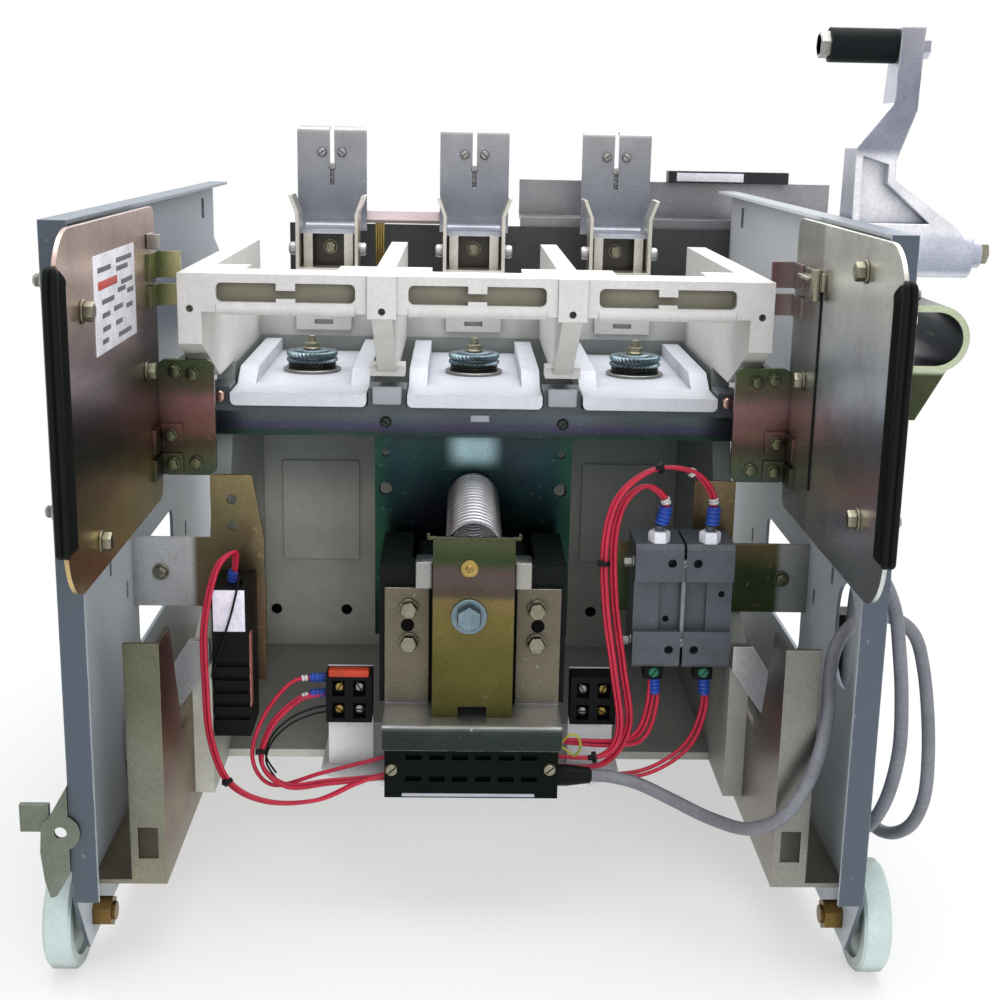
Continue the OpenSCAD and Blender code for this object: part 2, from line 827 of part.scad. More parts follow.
// Bearing bracket of the right side: front web, a cheek that holds the shaft and two straps to the panel
module bearing_body() {
  xz(bracket_y, bracket_t) rounded([bracket_in, bracket_low], [panel_in, bracket_top], [6, 6, 6, 6]);
  difference() {
    yz(mould_x, bracket_t) rounded([bracket_y, bracket_low], [bracket_back, bracket_top], [6, 12, 12, 6]);
    bar_x(mould_x - cut, mould_x + bracket_t + cut, pivot_y, pivot_z, shaft_d + 2 * run);
  }
  for (row = strap_rows) {
    box([panel_in - strap_reach, bracket_y - tab_t, row[0]], [panel_in, bracket_y + cut, row[1]]);
    box([panel_in - tab_t, bracket_y - tab_leg, row[0]], [panel_in, bracket_y + cut, row[1]]);
  }
}

module bearing_brackets() place() color("darkkhaki") {
  bearing_body();
  mirrored() bearing_body();
}

// Small angle that ties the panel's rear edge to the moulding's side
module tab_body(row) {
  box([mould_x, tab_y, row[0]], [panel_in, tab_y + tab_t, row[1]]);
  box([panel_in - tab_t, tab_y - tab_leg, row[0]], [panel_in, tab_y + tab_t, row[1]]);
}

module panel_tabs() place() color("darkkhaki") for (side = [0, 1], row = tab_rows)
  mirror([side, 0, 0]) tab_body(row);

// Notched bar with the pivot shaft's ends
module crossbar() place() color("dimgray") {
  difference() {
    box([-bar_half, bar_y, bar_low], [bar_half, bar_y + bar_d, bar_top]);
    for (x = poles) box([x - carrier_w / 2 - carrier_play, bar_y - cut, carrier_z],
                        [x + carrier_w / 2 + carrier_play, bar_y + bar_d + cut, bar_top + cut]);
  }
  for (side = [0, 1]) mirror([side, 0, 0])
    bar_x(bar_half - cut, mould_x + bracket_t + shaft_end, pivot_y, pivot_z, shaft_d);
}

// Contact carrier with a rib along each side
module carrier_body(x) {
  xz(carrier_front, carrier_back - carrier_front)
    polygon(concat([[x - carrier_w / 2, carrier_top]],
                   arc([x - carrier_w / 2 + carrier_r, carrier_z + carrier_r], carrier_r, 180, 270),
                   arc([x + carrier_w / 2 - carrier_r, carrier_z + carrier_r], carrier_r, 270, 360),
                   [[x + carrier_w / 2, carrier_top]]));
  for (side = [-1, 1]) yz(x + side * (carrier_w - rib_w) / 2 - rib_w / 2, rib_w)
    polygon([[rib_front, carrier_top - cut], [rib_front, carrier_top],
             [rib_front + rib_ramp, carrier_top + rib_h], [carrier_back, carrier_top + rib_h],
             [carrier_back, carrier_top - cut]]);
}

module carriers() place() color("whitesmoke") for (x = poles) carrier_body(x);

// Serrated disc, its teeth counted round the rim
module toothed_disc(z, t) translate([0, 0, z]) linear_extrude(t)
  polygon([for (i = [0 : 2 * disc_teeth - 1])
    (disc_d / 2 - (i % 2) * tooth_h) * [cos(180 * i / disc_teeth), sin(180 * i / disc_teeth)]]);

// Washer, spring pack, pair of serrated discs and stud of one pole
module adjuster_body(x) translate([x, adjuster_y, carrier_top]) {
  pack_top = washer_t + bellows_h;
  neck_z = pack_top + disc_low_t;
  top_z = neck_z + disc_neck_t;
  cylinder(d = washer_d, h = washer_t);
  rotate_extrude() polygon([[0, washer_t], [disc_d * 0.42, washer_t],
    [disc_d * 0.47, washer_t + bellows_h / 4], [disc_d * 0.42, washer_t + bellows_h / 2],
    [disc_d * 0.47, washer_t + bellows_h * 3 / 4], [disc_d * 0.42, pack_top], [0, pack_top]]);
  toothed_disc(pack_top, disc_low_t);
  translate([0, 0, neck_z]) cylinder(d = disc_neck_d, h = disc_neck_t);
  toothed_disc(top_z, disc_t);
  translate([0, 0, top_z + disc_t]) cylinder(d = stud_d, h = stud_h);
}

module adjusters() place() color("lightsteelblue") for (x = poles) adjuster_body(x);

// Armature: band under the crossbar and a tongue with lips turned back
module armature() place() color("steelblue") difference() {
  union() {
    box([-bar_half, armature_y - band_d, bar_low - band_h], [bar_half, armature_y + armature_t, bar_low]);
    box([-armature_w / 2, armature_y, armature_low], [armature_w / 2, armature_y + armature_t, bar_low]);
    for (side = [0, 1]) mirror([side, 0, 0])
      box([armature_w / 2 - armature_lip_t, armature_y, armature_low],
          [armature_w / 2, armature_y + armature_lip, bar_low - band_h]);
  }
  for (side = [-1, 1], hole = armature_holes)
    bar_y(side * hole[0], armature_y - band_d - cut, armature_y + armature_t + cut, hole[1], hole[2]);
}

// Coil spring between the spring bracket and the armature
module opening_spring() place() color("gainsboro") {
  start = frame_y + frame_t + spring_wire / 2 + seat;
  span = armature_y - start - spring_wire / 2 - seat;
  radius = (spring_d - spring_wire) / 2;
  steps = 12;
  path = [for (i = [0 : spring_turns * steps])
    let (a = 360 * i / steps)
      [radius * cos(a), start + span * i / (spring_turns * steps), spring_z + radius * sin(a)]];
  tube(path, spring_wire, 6, [1, 0, 0]);
}

// Channel that carries the spring's front end
module spring_bracket() place() color("darkkhaki") difference() {
  union() {
    box([-frame_half, frame_y, core_low], [frame_half, frame_y + frame_t, frame_top]);
    for (side = [0, 1]) mirror([side, 0, 0])
      box([frame_half - frame_t, frame_y, core_low], [frame_half, core_front, spring_z - spring_d / 2]);
  }
  box([-frame_slot[0] / 2, frame_y - cut, core_low - cut],
      [frame_slot[0] / 2, frame_y + frame_t + cut, core_low + frame_slot[1]]);
  bar_y(0, frame_y - cut, frame_y + frame_t + cut, bolt_hole_z, bolt_hole_d);
}

// Magnet core: yoke at the front and two legs towards the armature
module magnet_core() place() color([0.1, 0.1, 0.11]) {
  box([-magnet_w / 2, core_front, core_low], [magnet_w / 2, core_front + core_yoke, core_low + magnet_h]);
  for (side = [0, 1]) mirror([side, 0, 0])
    box([magnet_w / 2 - core_leg, core_front, core_low], [magnet_w / 2, core_back, core_low + magnet_h]);
}

module magnet_coil() place() color([0.16, 0.15, 0.15]) {
  half = magnet_w / 2 - core_leg - coil_gap;
  translate([0, coil_back, 0]) rotate([90, 0, 0]) linear_extrude(coil_back - core_front - core_yoke)
    rounded([-half, core_low], [half, core_low + magnet_h - 4], [10, 10, 10, 10]);
}

// Steel bracket under the magnet: shelf, front lip and two bolted ears
module magnet_bracket() place() color("lightgray") difference() {
  union() {
    yz(-ear_out, 2 * ear_out)
      polygon(concat([[lip_front, base_z - lip_drop]],
                     arc([lip_front + lip_bend_r, core_low - lip_bend_r], lip_bend_r, 180, 90),
                     [[core_back, core_low], [core_back, base_z], [lip_front + lip_t, base_z],
                      [lip_front + lip_t, base_z - lip_drop]]));
    for (side = [0, 1]) mirror([side, 0, 0])
      box([ear_in, core_front - ear_t, core_low - cut], [ear_out, core_front, ear_top]);
  }
  for (side = [-1, 1], hole = ear_holes)
    bar_y(side * hole.x, core_front - ear_t - cut, core_front + cut, hole.y, ear_hole_d);
}

// Support plate on the base moulding's shelf, with a post for each terminal block
module magnet_base() place() color("lightgray") {
  translate([0, 0, shelf_top]) linear_extrude(plinth_t)
    polygon([[-plinth_half + 25, plinth_y], [plinth_half - 25, plinth_y], [plinth_half, post_y - 8],
             [plinth_half, plinth_back], [-plinth_half, plinth_back], [-plinth_half, post_y - 8]]);
  for (side = [0, 1]) mirror([side, 0, 0])
    box([block_in, post_y, shelf_top], [block_in + block_len, post_y + post_t, block_z + block_h]);
}

// Terminal housing of the coil, with two rows of slots in its face
module coil_cover() place() color([0.12, 0.14, 0.14]) difference() {
  yz(-cover_half, 2 * cover_half)
    polygon([[cover_front, cover_low], [cover_front, base_z], [cover_back, base_z],
             [cover_back, plinth_top], [cover_step_y, plinth_top], [cover_step_y, cover_low]]);
  for (z = cover_rows, i = [-2.5 : 1 : 2.5])
    translate([i * cover_slot_pitch - cover_slot[0] / 2, cover_front - cut, z])
      cube([cover_slot[0], cover_slot_depth + cut, cover_slot[1]]);
}

// One auxiliary switch: two deep end blocks, a channelled middle, screw wells and a top post
module aux_body(x, inner) {
  low = aux_z + aux_block;
  high = aux_z + aux_h - aux_block;
  top = aux_z + aux_h;
  well_x = inner ? x + aux_w - aux_hole_in : x + aux_hole_in;
  channel_x = inner ? x + aux_w - aux_channel_w : x;
  difference() {
    yz(x, aux_w) polygon([[aux_y, aux_z + aux_edge], [aux_y + aux_edge, aux_z], [strap_y, aux_z],
      [strap_y, top], [aux_y + aux_edge, top], [aux_y, top - aux_edge], [aux_y, high],
      [aux_y + aux_recess, high], [aux_y + aux_recess, low], [aux_y, low]]);
    box([channel_x, aux_y, low], [channel_x + aux_channel_w, aux_y + aux_recess + aux_channel, high]);
    for (z = [aux_z + aux_block / 2, top - aux_block / 2])
      bar_y(well_x, aux_y - cut, aux_y + aux_hole_depth, z, aux_hole_d);
  }
  bar_z(x + aux_w / 2, aux_post_y, top - cut, top + post_h, post_d);
}

module aux_switches() place() color([0.37, 0.38, 0.41]) {
  aux_body(aux_x, true);
  aux_body(aux_x + aux_w + aux_gap, false);
}

// Strap from the right side plate that carries the auxiliary switches
module aux_bracket() place() color("darkkhaki") difference() {
  xz(strap_y, strap_t) polygon([[strap_in, strap_low], [plate_in, strap_low], [plate_in, strap_top],
    [horn_x + horn_w, strap_top], [horn_x + horn_w, horn_top], [horn_x, horn_top], [horn_x, strap_top],
    [strap_in, strap_top]]);
  for (spot = [[horn_x + horn_w / 2, horn_bolt_z], [plate_in - strap_bolt_in, strap_bolt_z]])
    bar_y(spot.x, strap_y - cut, strap_y + strap_t + cut, spot.y, strap_hole_d);
}

// Relay block with ribs along its front
module relay() place() color([0.14, 0.12, 0.12]) difference() {
  box([-relay_x, aux_y, relay_z], [-relay_x + relay_w, strap_y, relay_z + relay_h]);
  for (i = [0 : relay_rib_n - 1])
    translate([-relay_x - cut, aux_y - cut, relay_z + relay_rib_low + i * relay_rib_pitch])
      cube([relay_w + 2 * cut, relay_rib + cut, relay_rib_h]);
}

// Strap from the left side plate that carries the relay
module relay_bracket() place() color("darkgoldenrod") difference() {
  xz(strap_y, strap_t) polygon([[-plate_in, strap_low], [-plate_in, strap_top], [-horn_x - horn_w, strap_top],
    [-horn_x - horn_w, horn_top], [-horn_x, horn_top], [-horn_x + 8, strap_top],
    [-horn_x + 8, relay_z + strap_rise],
    [-relay_x, relay_z + strap_rise], [-relay_x, strap_low]]);
  for (spot = [[-horn_x - horn_w / 2, horn_bolt_z + 6], [-horn_x - horn_w / 2, horn_bolt_z - 14],
               [-plate_in + strap_bolt_in, strap_bolt_z]])
    bar_y(spot.x, strap_y - cut, strap_y + strap_t + cut, spot.y, strap_hole_d);
}

// Two-way terminal block with open wells
module terminal_body() difference() {
  box([block_in, post_y - block_deep, block_z], [block_in + block_len, post_y, block_z + block_h]);
  for (i = [0, 1], row = [0, 1])
    translate([block_in + block_len * (0.27 + 0.46 * i) - block_cut[0] / 2, post_y - block_deep - cut,
               block_z + 3 + row * 17])
      cube([block_cut[0], block_deep * 0.4 + cut, block_cut[1] - 2]);
}

module terminal_blocks() place() color([0.1, 0.1, 0.1]) {
  terminal_body();
  mirrored() terminal_body();
}

// Upright clip plate with a slit, a top bent back on a radius and a foot on the contact lug
module clip_body(x) difference() {
  union() {
    intersection() {
      yz(x - clip_w / 2, clip_w)
        polygon(concat([[clip_y, foot_z], [clip_y + clip_t, foot_z],
                        [clip_y + clip_t, clip_top - clip_t], [clip_y + clip_bend, clip_top - clip_t],
                        [clip_y + clip_bend, clip_top]],
                       arc([clip_y + clip_bend_r, clip_top - clip_bend_r], clip_bend_r, 90, 180)));
      xz(clip_y - cut, clip_bend + 2 * cut)
        translate([x, 0])
          polygon(concat([[-clip_w / 2, foot_z], [clip_w / 2, foot_z]],
                         arc([clip_w / 2 - clip_corner_r, clip_top - clip_corner_r], clip_corner_r, 0, 90),
                         arc([clip_corner_r - clip_w / 2, clip_top - clip_corner_r],
                             clip_corner_r, 90, 180)));
    }
    yz(x - jaw_half, 2 * jaw_half)
      polygon(concat([[clip_foot_y, foot_z], [clip_y + clip_t, foot_z],
                      [clip_y + clip_t, foot_z + foot_t + clip_fillet]],
                     arc([clip_y - clip_fillet, foot_z + foot_t + clip_fillet], clip_fillet, 360, 270),
                     [[clip_foot_y, foot_z + foot_t]]));
  }
  box([x - clip_slit / 2, clip_y - cut, clip_slit_low],
      [x + clip_slit / 2, clip_y + clip_bend + cut, clip_top + cut]);
  for (side = [-1, 1])
    bar_y(x + side * clip_hole[0], clip_y - cut, clip_y + clip_t + cut, clip_hole[1], clip_hole_d);
}

module fuse_clips() place() color("lightslategray") for (x = poles) clip_body(x);

// Contact lug of one pole: base, rear block, two posts under the clip and two flared jaws
module jaw_body(x) translate([x, 0, 0]) {
  box([-jaw_half, jaw_y, lug_low], [jaw_half, lug_back, lug_low + lug_t]);
  box([-jaw_half, lug_back - lug_block_d, lug_low], [jaw_half, lug_back, foot_z]);
  for (side = [0, 1]) mirror([side, 0, 0]) {
    box([finger_in, clip_foot_y, lug_low], [finger_in + finger_w, clip_foot_y + finger_t, foot_z]);
    xz(jaw_y, jaw_d)
      polygon([[jaw_half - cut, lug_low], [jaw_half + jaw_t, lug_low], [jaw_half + jaw_t, jaw_neck],
               [jaw_half + jaw_t + jaw_flare, jaw_top], [jaw_half + jaw_flare, jaw_top],
               [jaw_half, jaw_neck], [jaw_half, lug_low + lug_t], [jaw_half - cut, lug_low + lug_t]]);
  }
}

module contact_jaws() place() color("burlywood") for (x = poles) jaw_body(x);

// Vacuum bottle: end caps, ceramic body with skirts and a stem up to the lug
module bottle_body(x) translate([x, bottle_y, 0]) {
  body_low = bottle_shelf + bottle_cap_h;
  skirt_pitch = (bottle_top - body_low) / (skirt_n + 1);
  bar_z(0, 0, bottle_shelf, body_low, bottle_cap_d);
  bar_z(0, 0, body_low, bottle_top, bottle_d);
  for (i = [1 : skirt_n])
    bar_z(0, 0, body_low + i * skirt_pitch - skirt_t / 2, body_low + i * skirt_pitch + skirt_t / 2, skirt_d);
  bar_z(0, 0, bottle_top, bottle_top + bottle_cap_h, bottle_cap_d);
  bar_z(0, 0, bottle_top + bottle_cap_h, lug_low, stem_d);
}

module vacuum_bottles() place() color("white") for (x = poles) bottle_body(x);

module rear_barrier() place() color([0.13, 0.12, 0.11]) xz(barrier_y, barrier_t)
  polygon([[-plate_in, barrier_low], [plate_in, barrier_low], [plate_in, barrier_top],
           [barrier_left, barrier_top], [barrier_left, barrier_step], [-plate_in, barrier_step]]);

// Insulating bar behind the first two clips
module tie_bar() place() color("rosybrown")
  box([poles[0] - clip_w / 2, clip_y + clip_t, tie_low],
      [poles[1] + clip_w / 2, clip_y + clip_t + tie_d, tie_low + tie_h]);

// Folded shelf across the back: front lip, floor and rear wall
module rear_shelf() place() color("darkgray") {
  lip_y = barrier_y + barrier_t;
  box([shelf_x0, lip_y, shelf_lip_low], [shelf_x1, lip_y + shelf_sheet, shelf_z + shelf_sheet]);
  box([shelf_x0, lip_y, shelf_z], [shelf_x1, shelf_back + shelf_sheet, shelf_z + shelf_sheet]);
  box([shelf_x0, shelf_back, shelf_z], [shelf_x1, shelf_back + shelf_sheet, shelf_wall_top]);
}

module rear_duct() place() color([0.08, 0.08, 0.08])
  box([duct_x0, shelf_back + shelf_sheet - duct_d, shelf_wall_top],
      [duct_x1, shelf_back + shelf_sheet, shelf_wall_top + duct_h]);

// Fixed stub with washer and end bolt
module handle_stub() place() color("lightgray") {
  bar_x(plate_in - 4, hub_out + stub_head_l, handle_y, handle_z, stub_d);
  bar_x(plate_out, hub_in - grip_play, handle_y, handle_z, stub_washer_d);
  bar_x(hub_out + grip_play, hub_out + stub_head_l + grip_play, handle_y, handle_z, stub_head_d);
}

// Cranked arm's outline seen from the front and from the side
module arm_body() {
  knee = handle_z + arm_knee_z;
  top = grip_z + arm_over;
  intersection() {
    xz(handle_y - arm_low_w / 2, arm_low_w)
      polygon([[hub_in, handle_z], [hub_in, knee], [hub_in + arm_lean, knee + 30],
               [hub_in + arm_lean + 2, top], [hub_in + arm_lean + 2 + arm_t, top],
               [hub_in + arm_lean + arm_t, knee + 26],
               [hub_in + arm_foot_t, knee - 8], [hub_in + arm_foot_t, knee - 21],
               [hub_in + web_x, handle_z + web_z], [hub_out, handle_z]]);
    yz(hub_in - cut, hub_l + 2 * cut)
      polygon([[handle_y - arm_low_w / 2, handle_z], [handle_y - arm_top_w / 2, grip_z],
               [handle_y - arm_top_w / 2, top], [handle_y + arm_top_w / 2, top],
               [handle_y + arm_top_w / 2, grip_z], [handle_y + arm_low_w / 2, handle_z]]);
  }
}

// Cast lever: hub, webbed arm that leans outward and the grip's pin
module handle() place() color("gainsboro") {
  knee = handle_z + arm_knee_z;
  difference() {
    union() {
      difference() {
        arm_body();
        for (side = [-1, 1])
          translate([0, side * (arm_web_half + arm_low_w / 2), 0]) xz(handle_y - arm_low_w / 2, arm_low_w)
            polygon([[hub_in + arm_rim, handle_z + hub_d / 2 + 2], [hub_in + arm_rim, knee - arm_rim],
                     [hub_in + arm_foot_t - arm_rim, knee - 8 - arm_rim / 2],
                     [hub_in + arm_foot_t - arm_rim, knee - 21 - arm_rim / 2],
                     [hub_in + web_x - 4 * arm_rim, handle_z + hub_d / 2 + 2]]);
      }
      bar_x(hub_in, hub_out, handle_y, handle_z, hub_d);
    }
    bar_x(hub_in - cut, hub_out + cut, handle_y, handle_z, stub_d + 2 * run);
  }
  bar_x(grip_in - grip_play - pin_head_l, grip_out + arm_t + pin_nut_l, handle_y, grip_z, pin_d);
  bar_x(grip_in - grip_play - pin_head_l, grip_in - grip_play, handle_y, grip_z, pin_head_d);
  translate([hub_in + arm_lean + 1 + arm_t, handle_y, grip_z]) rotate([0, 90, 0])
    cylinder(d = pin_head_d, h = pin_nut_l, $fn = 6);
}

module grip() place() color([0.1, 0.1, 0.11]) difference() {
  bar_x(grip_in, grip_out, handle_y, grip_z, grip_d);
  bar_x(grip_in - cut, grip_out + cut, handle_y, grip_z, pin_d + 2 * run);
}

// Bent strap with a U section along Y and a gusset under its front end
module hook_bracket() place() color("darkkhaki") {
  bend = plate_out + hook_arm;
  xz(hook_y, hook_l) difference() {
    union() {
      translate([bend, hook_z]) circle(hook_r);
      translate([plate_out, hook_z - hook_r]) square([hook_arm, 2 * hook_r]);
    }
    translate([bend, hook_z]) circle(hook_r - hook_t);
    translate([plate_out - cut, hook_z - hook_r + hook_t]) square([hook_arm + cut, 2 * (hook_r - hook_t)]);
  }
  xz(hook_y, gusset_t) polygon([[plate_out, hook_z - hook_r], [bend + 8, hook_z - hook_r + 2],
    [plate_out + gusset_w, gusset_low], [plate_out, gusset_low]]);
}

// Latch plate on the front of the left side plate's flange, with its hole and side tab
module latch_plate() place() color("silver") mirrored() difference() {
  union() {
    xz(-latch_t, latch_t) {
      polygon([[plate_out, latch_top], [plate_out + latch_w - 1, latch_top - latch_shoulder],
               [plate_out + latch_w, latch_top - latch_waist], [plate_out + latch_w - 2, latch_low + 11],
               [plate_out + latch_w - 5, latch_low], [plate_out + latch_w / 2, latch_low + 1],
               [plate_out, latch_low + 17]]);
      translate([plate_out + latch_hole.x, latch_hole.y]) circle(d = latch_boss_d);
    }
    box([plate_out + latch_tab_in, -cut, latch_tab[1]], [plate_out + latch_tab[0], latch_t, latch_tab[2]]);
  }
  bar_y(plate_out + latch_hole.x, -latch_t - cut, latch_t + cut, latch_hole.y, latch_hole_d);
}

// Control wires held between their terminals
module wires() place() color("crimson") for (route = concat(right_wires, left_wires))
  tube(curve(route, 2), wire_d, 8, [0.3, 0.9, 0.2]);

// Tapered strain relief on the side of the coil's terminal housing
module cable_gland() place() color("black") translate([cover_half, gland_y, gland_z]) rotate([0, 90, 0])
  rotate_extrude() polygon([[0, 0], [gland_d / 2, 0], [gland_d / 2, gland_l / 3],
    [cable_d / 2 + 1, gland_l], [0, gland_l]]);

module cable() place() color("gray") tube(curve(cable_route, 2), cable_d, 10, [0, 0, 1]);

// Clip that holds the cable's upper turn on the plate's outer face
module cable_clip() place() color("black") difference() {
  box([plate_out, clip_spot.y - clip_l / 2, clip_spot.z - clip_h / 2],
      [clip_spot.x + clip_bore / 2 + 2, clip_spot.y + clip_l / 2, clip_spot.z + clip_h / 2]);
  bar_y(clip_spot.x, clip_spot.y - clip_l, clip_spot.y + clip_l, clip_spot.z, clip_bore);
}

// Control connector at the cable's end, with a key along one side
module plug() place() color([0.12, 0.12, 0.13]) {
  low = plug_spot.z + wire_seat;
  bar_z(plug_spot.x, plug_spot.y, low, low + 8, cable_d + 4);
  box([plug_spot.x - plug_w / 2, plug_spot.y - plug_w / 2, low + 8],
      [plug_spot.x + plug_w / 2, plug_spot.y + plug_w / 2, low + plug_l]);
}

// Strap that holds the connector on the plate's outer face
module plug_clip() place() color("lightgray") {
  low = plug_spot.z + plug_l / 2;
  difference() {
    box([plate_out, plug_spot.y - plug_w / 2 - strap_wall, low],
        [plug_spot.x + plug_w / 2 + strap_wall, plug_spot.y + plug_w / 2 + strap_wall, low + strap_l]);
    box([plug_spot.x - plug_w / 2, plug_spot.y - plug_w / 2, low - cut],
        [plug_spot.x + plug_w / 2, plug_spot.y + plug_w / 2, low + strap_l + cut]);
  }
}

left_side_plate();
right_side_plate();
left_panel();
right_panel();
edge_trims();
panel_spacers();
left_rail();
right_rail();
struts();
axles();
wheel_front_left();
wheel_front_right();
wheel_rear_left();
wheel_rear_right();
pole_moulding();
base_moulding();
bearing_brackets();
panel_tabs();
crossbar();
carriers();
adjusters();
armature();
opening_spring();
spring_bracket();
magnet_core();
magnet_coil();
magnet_bracket();
magnet_base();
coil_cover();
aux_switches();
aux_bracket();
relay();
relay_bracket();
terminal_blocks();
fuse_clips();
contact_jaws();
vacuum_bottles();
rear_barrier();
tie_bar();
rear_shelf();
rear_duct();
handle_stub();
handle();
grip();
hook_bracket();
latch_plate();
wires();
cable_gland();
cable();
cable_clip();
plug();
plug_clip();
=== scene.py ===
"""Looks of a draw-out vacuum contactor: camera, light, cords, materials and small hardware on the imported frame."""
from math import asin, cos, pi, radians, sin, sqrt

import bmesh
import bpy
from mathutils import Matrix, Vector


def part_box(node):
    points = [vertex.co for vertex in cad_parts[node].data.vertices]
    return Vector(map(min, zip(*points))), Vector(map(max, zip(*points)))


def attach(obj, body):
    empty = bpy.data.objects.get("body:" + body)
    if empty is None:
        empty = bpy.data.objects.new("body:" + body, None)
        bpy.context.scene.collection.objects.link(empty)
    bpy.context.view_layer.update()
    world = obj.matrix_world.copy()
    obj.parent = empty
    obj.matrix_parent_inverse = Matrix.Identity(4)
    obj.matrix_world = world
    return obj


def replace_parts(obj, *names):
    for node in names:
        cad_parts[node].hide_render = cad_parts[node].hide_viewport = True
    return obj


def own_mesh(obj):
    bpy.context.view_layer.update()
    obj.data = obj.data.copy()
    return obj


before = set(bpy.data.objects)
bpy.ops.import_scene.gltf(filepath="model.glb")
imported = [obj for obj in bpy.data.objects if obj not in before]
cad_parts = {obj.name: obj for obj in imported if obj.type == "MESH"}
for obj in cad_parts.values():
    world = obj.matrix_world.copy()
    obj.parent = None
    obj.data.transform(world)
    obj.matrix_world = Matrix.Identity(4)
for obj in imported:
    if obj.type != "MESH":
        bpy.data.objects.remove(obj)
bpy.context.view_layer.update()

X, Y, Z = Vector((1, 0, 0)), Vector((0, 1, 0)), Vector((0, 0, 1))
SIDES = (-1, 1)
# Truck millimetres: the poles, the plates' top, and the faces that hardware sits on
POLES = (-130, 0, 130)
PLATE_TOP = 477
PANEL_FACE = 220.75
PLATE_FACE = 250
BAR_FACE = 238
EAR_FACE = 146
BRACKET_FACE = 120
MIDDLE = (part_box("pole_moulding")[0].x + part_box("pole_moulding")[1].x) / 2
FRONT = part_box("left_side_plate")[0].y
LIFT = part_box("left_side_plate")[1].z - PLATE_TOP / 1000


def at(x, y, z):
    """Truck millimetres, from the middle pole, the plates' front edge and PLATE_TOP below their top, to metres."""
    return Vector((MIDDLE + x / 1000, FRONT + y / 1000, LIFT + z / 1000))


def mm(value):
    return value / 1000


def srgb(r, g, b):
    """Screen colour, 0 to 255, as linear light."""
    return tuple(c / 12.92 if c <= 0.04045 else ((c + 0.055) / 1.055) ** 2.4
                 for c in (r / 255, g / 255, b / 255)) + (1.0,)


def tinted(colour, gain, lift=0):
    """The colour made lighter or darker."""
    return [max(0, min(255, c * gain + lift)) for c in colour]


def add_object(name, data):
    made = bpy.data.objects.new(name, data)
    bpy.context.scene.collection.objects.link(made)
    return made


def make_camera():
    """Camera, solved from the photograph: angles in radians, place in truck millimetres."""
    yaw, pitch, roll = 0.029503, 0.243044, -0.0199557
    spot = at(-12.36, -864.12, 532.70)
    ahead = Vector((sin(yaw) * cos(pitch), cos(yaw) * cos(pitch), -sin(pitch)))
    level = Vector((cos(yaw), -sin(yaw), 0))
    below = ahead.cross(level)
    right = cos(roll) * level + sin(roll) * below
    down = cos(roll) * below - sin(roll) * level
    data = bpy.data.cameras.new("camera")
    data.sensor_width = 36
    data.lens = 54.23
    data.clip_start = 0.01
    camera = add_object("camera", data)
    turn = Matrix((right, -down, -ahead)).transposed().to_4x4()
    camera.matrix_world = Matrix.Translation(spot) @ turn
    bpy.context.scene.camera = camera


make_camera()


# Materials

class Nodes:
    """Adds nodes to a tree and joins them up."""

    def __init__(self, tree):
        self.tree = tree

    def feed(self, socket, value):
        if isinstance(value, bpy.types.NodeSocket):
            self.tree.links.new(value, socket)
        else:
            socket.default_value = value

    def node(self, kind, operation=None, **inputs):
        made = self.tree.nodes.new(kind)
        if operation:
            made.operation = operation
        for key, value in inputs.items():
            self.feed(made.inputs[key], value)
        return made

    def math(self, operation, a, b=0.0, clamp=False):
        made = self.node("ShaderNodeMath", operation)
        made.use_clamp = clamp
        self.feed(made.inputs[0], a)
        self.feed(made.inputs[1], b)
        return made.outputs[0]

    def times(self, first, *others):
        """Product of masks and values."""
        for other in others:
            first = self.math("MULTIPLY", first, other)
        return first

    def fit(self, value, low, high, start=0.0, end=1.0, kind="SMOOTHSTEP"):
        """Runs from start to end as the value goes from low to high, and stays there beyond them."""
        made = self.node("ShaderNodeMapRange", Value=value)
        made.interpolation_type = kind
        for socket, v in zip(("From Min", "From Max", "To Min", "To Max"), (low, high, start, end)):
            made.inputs[socket].default_value = v
        return made.outputs[0]


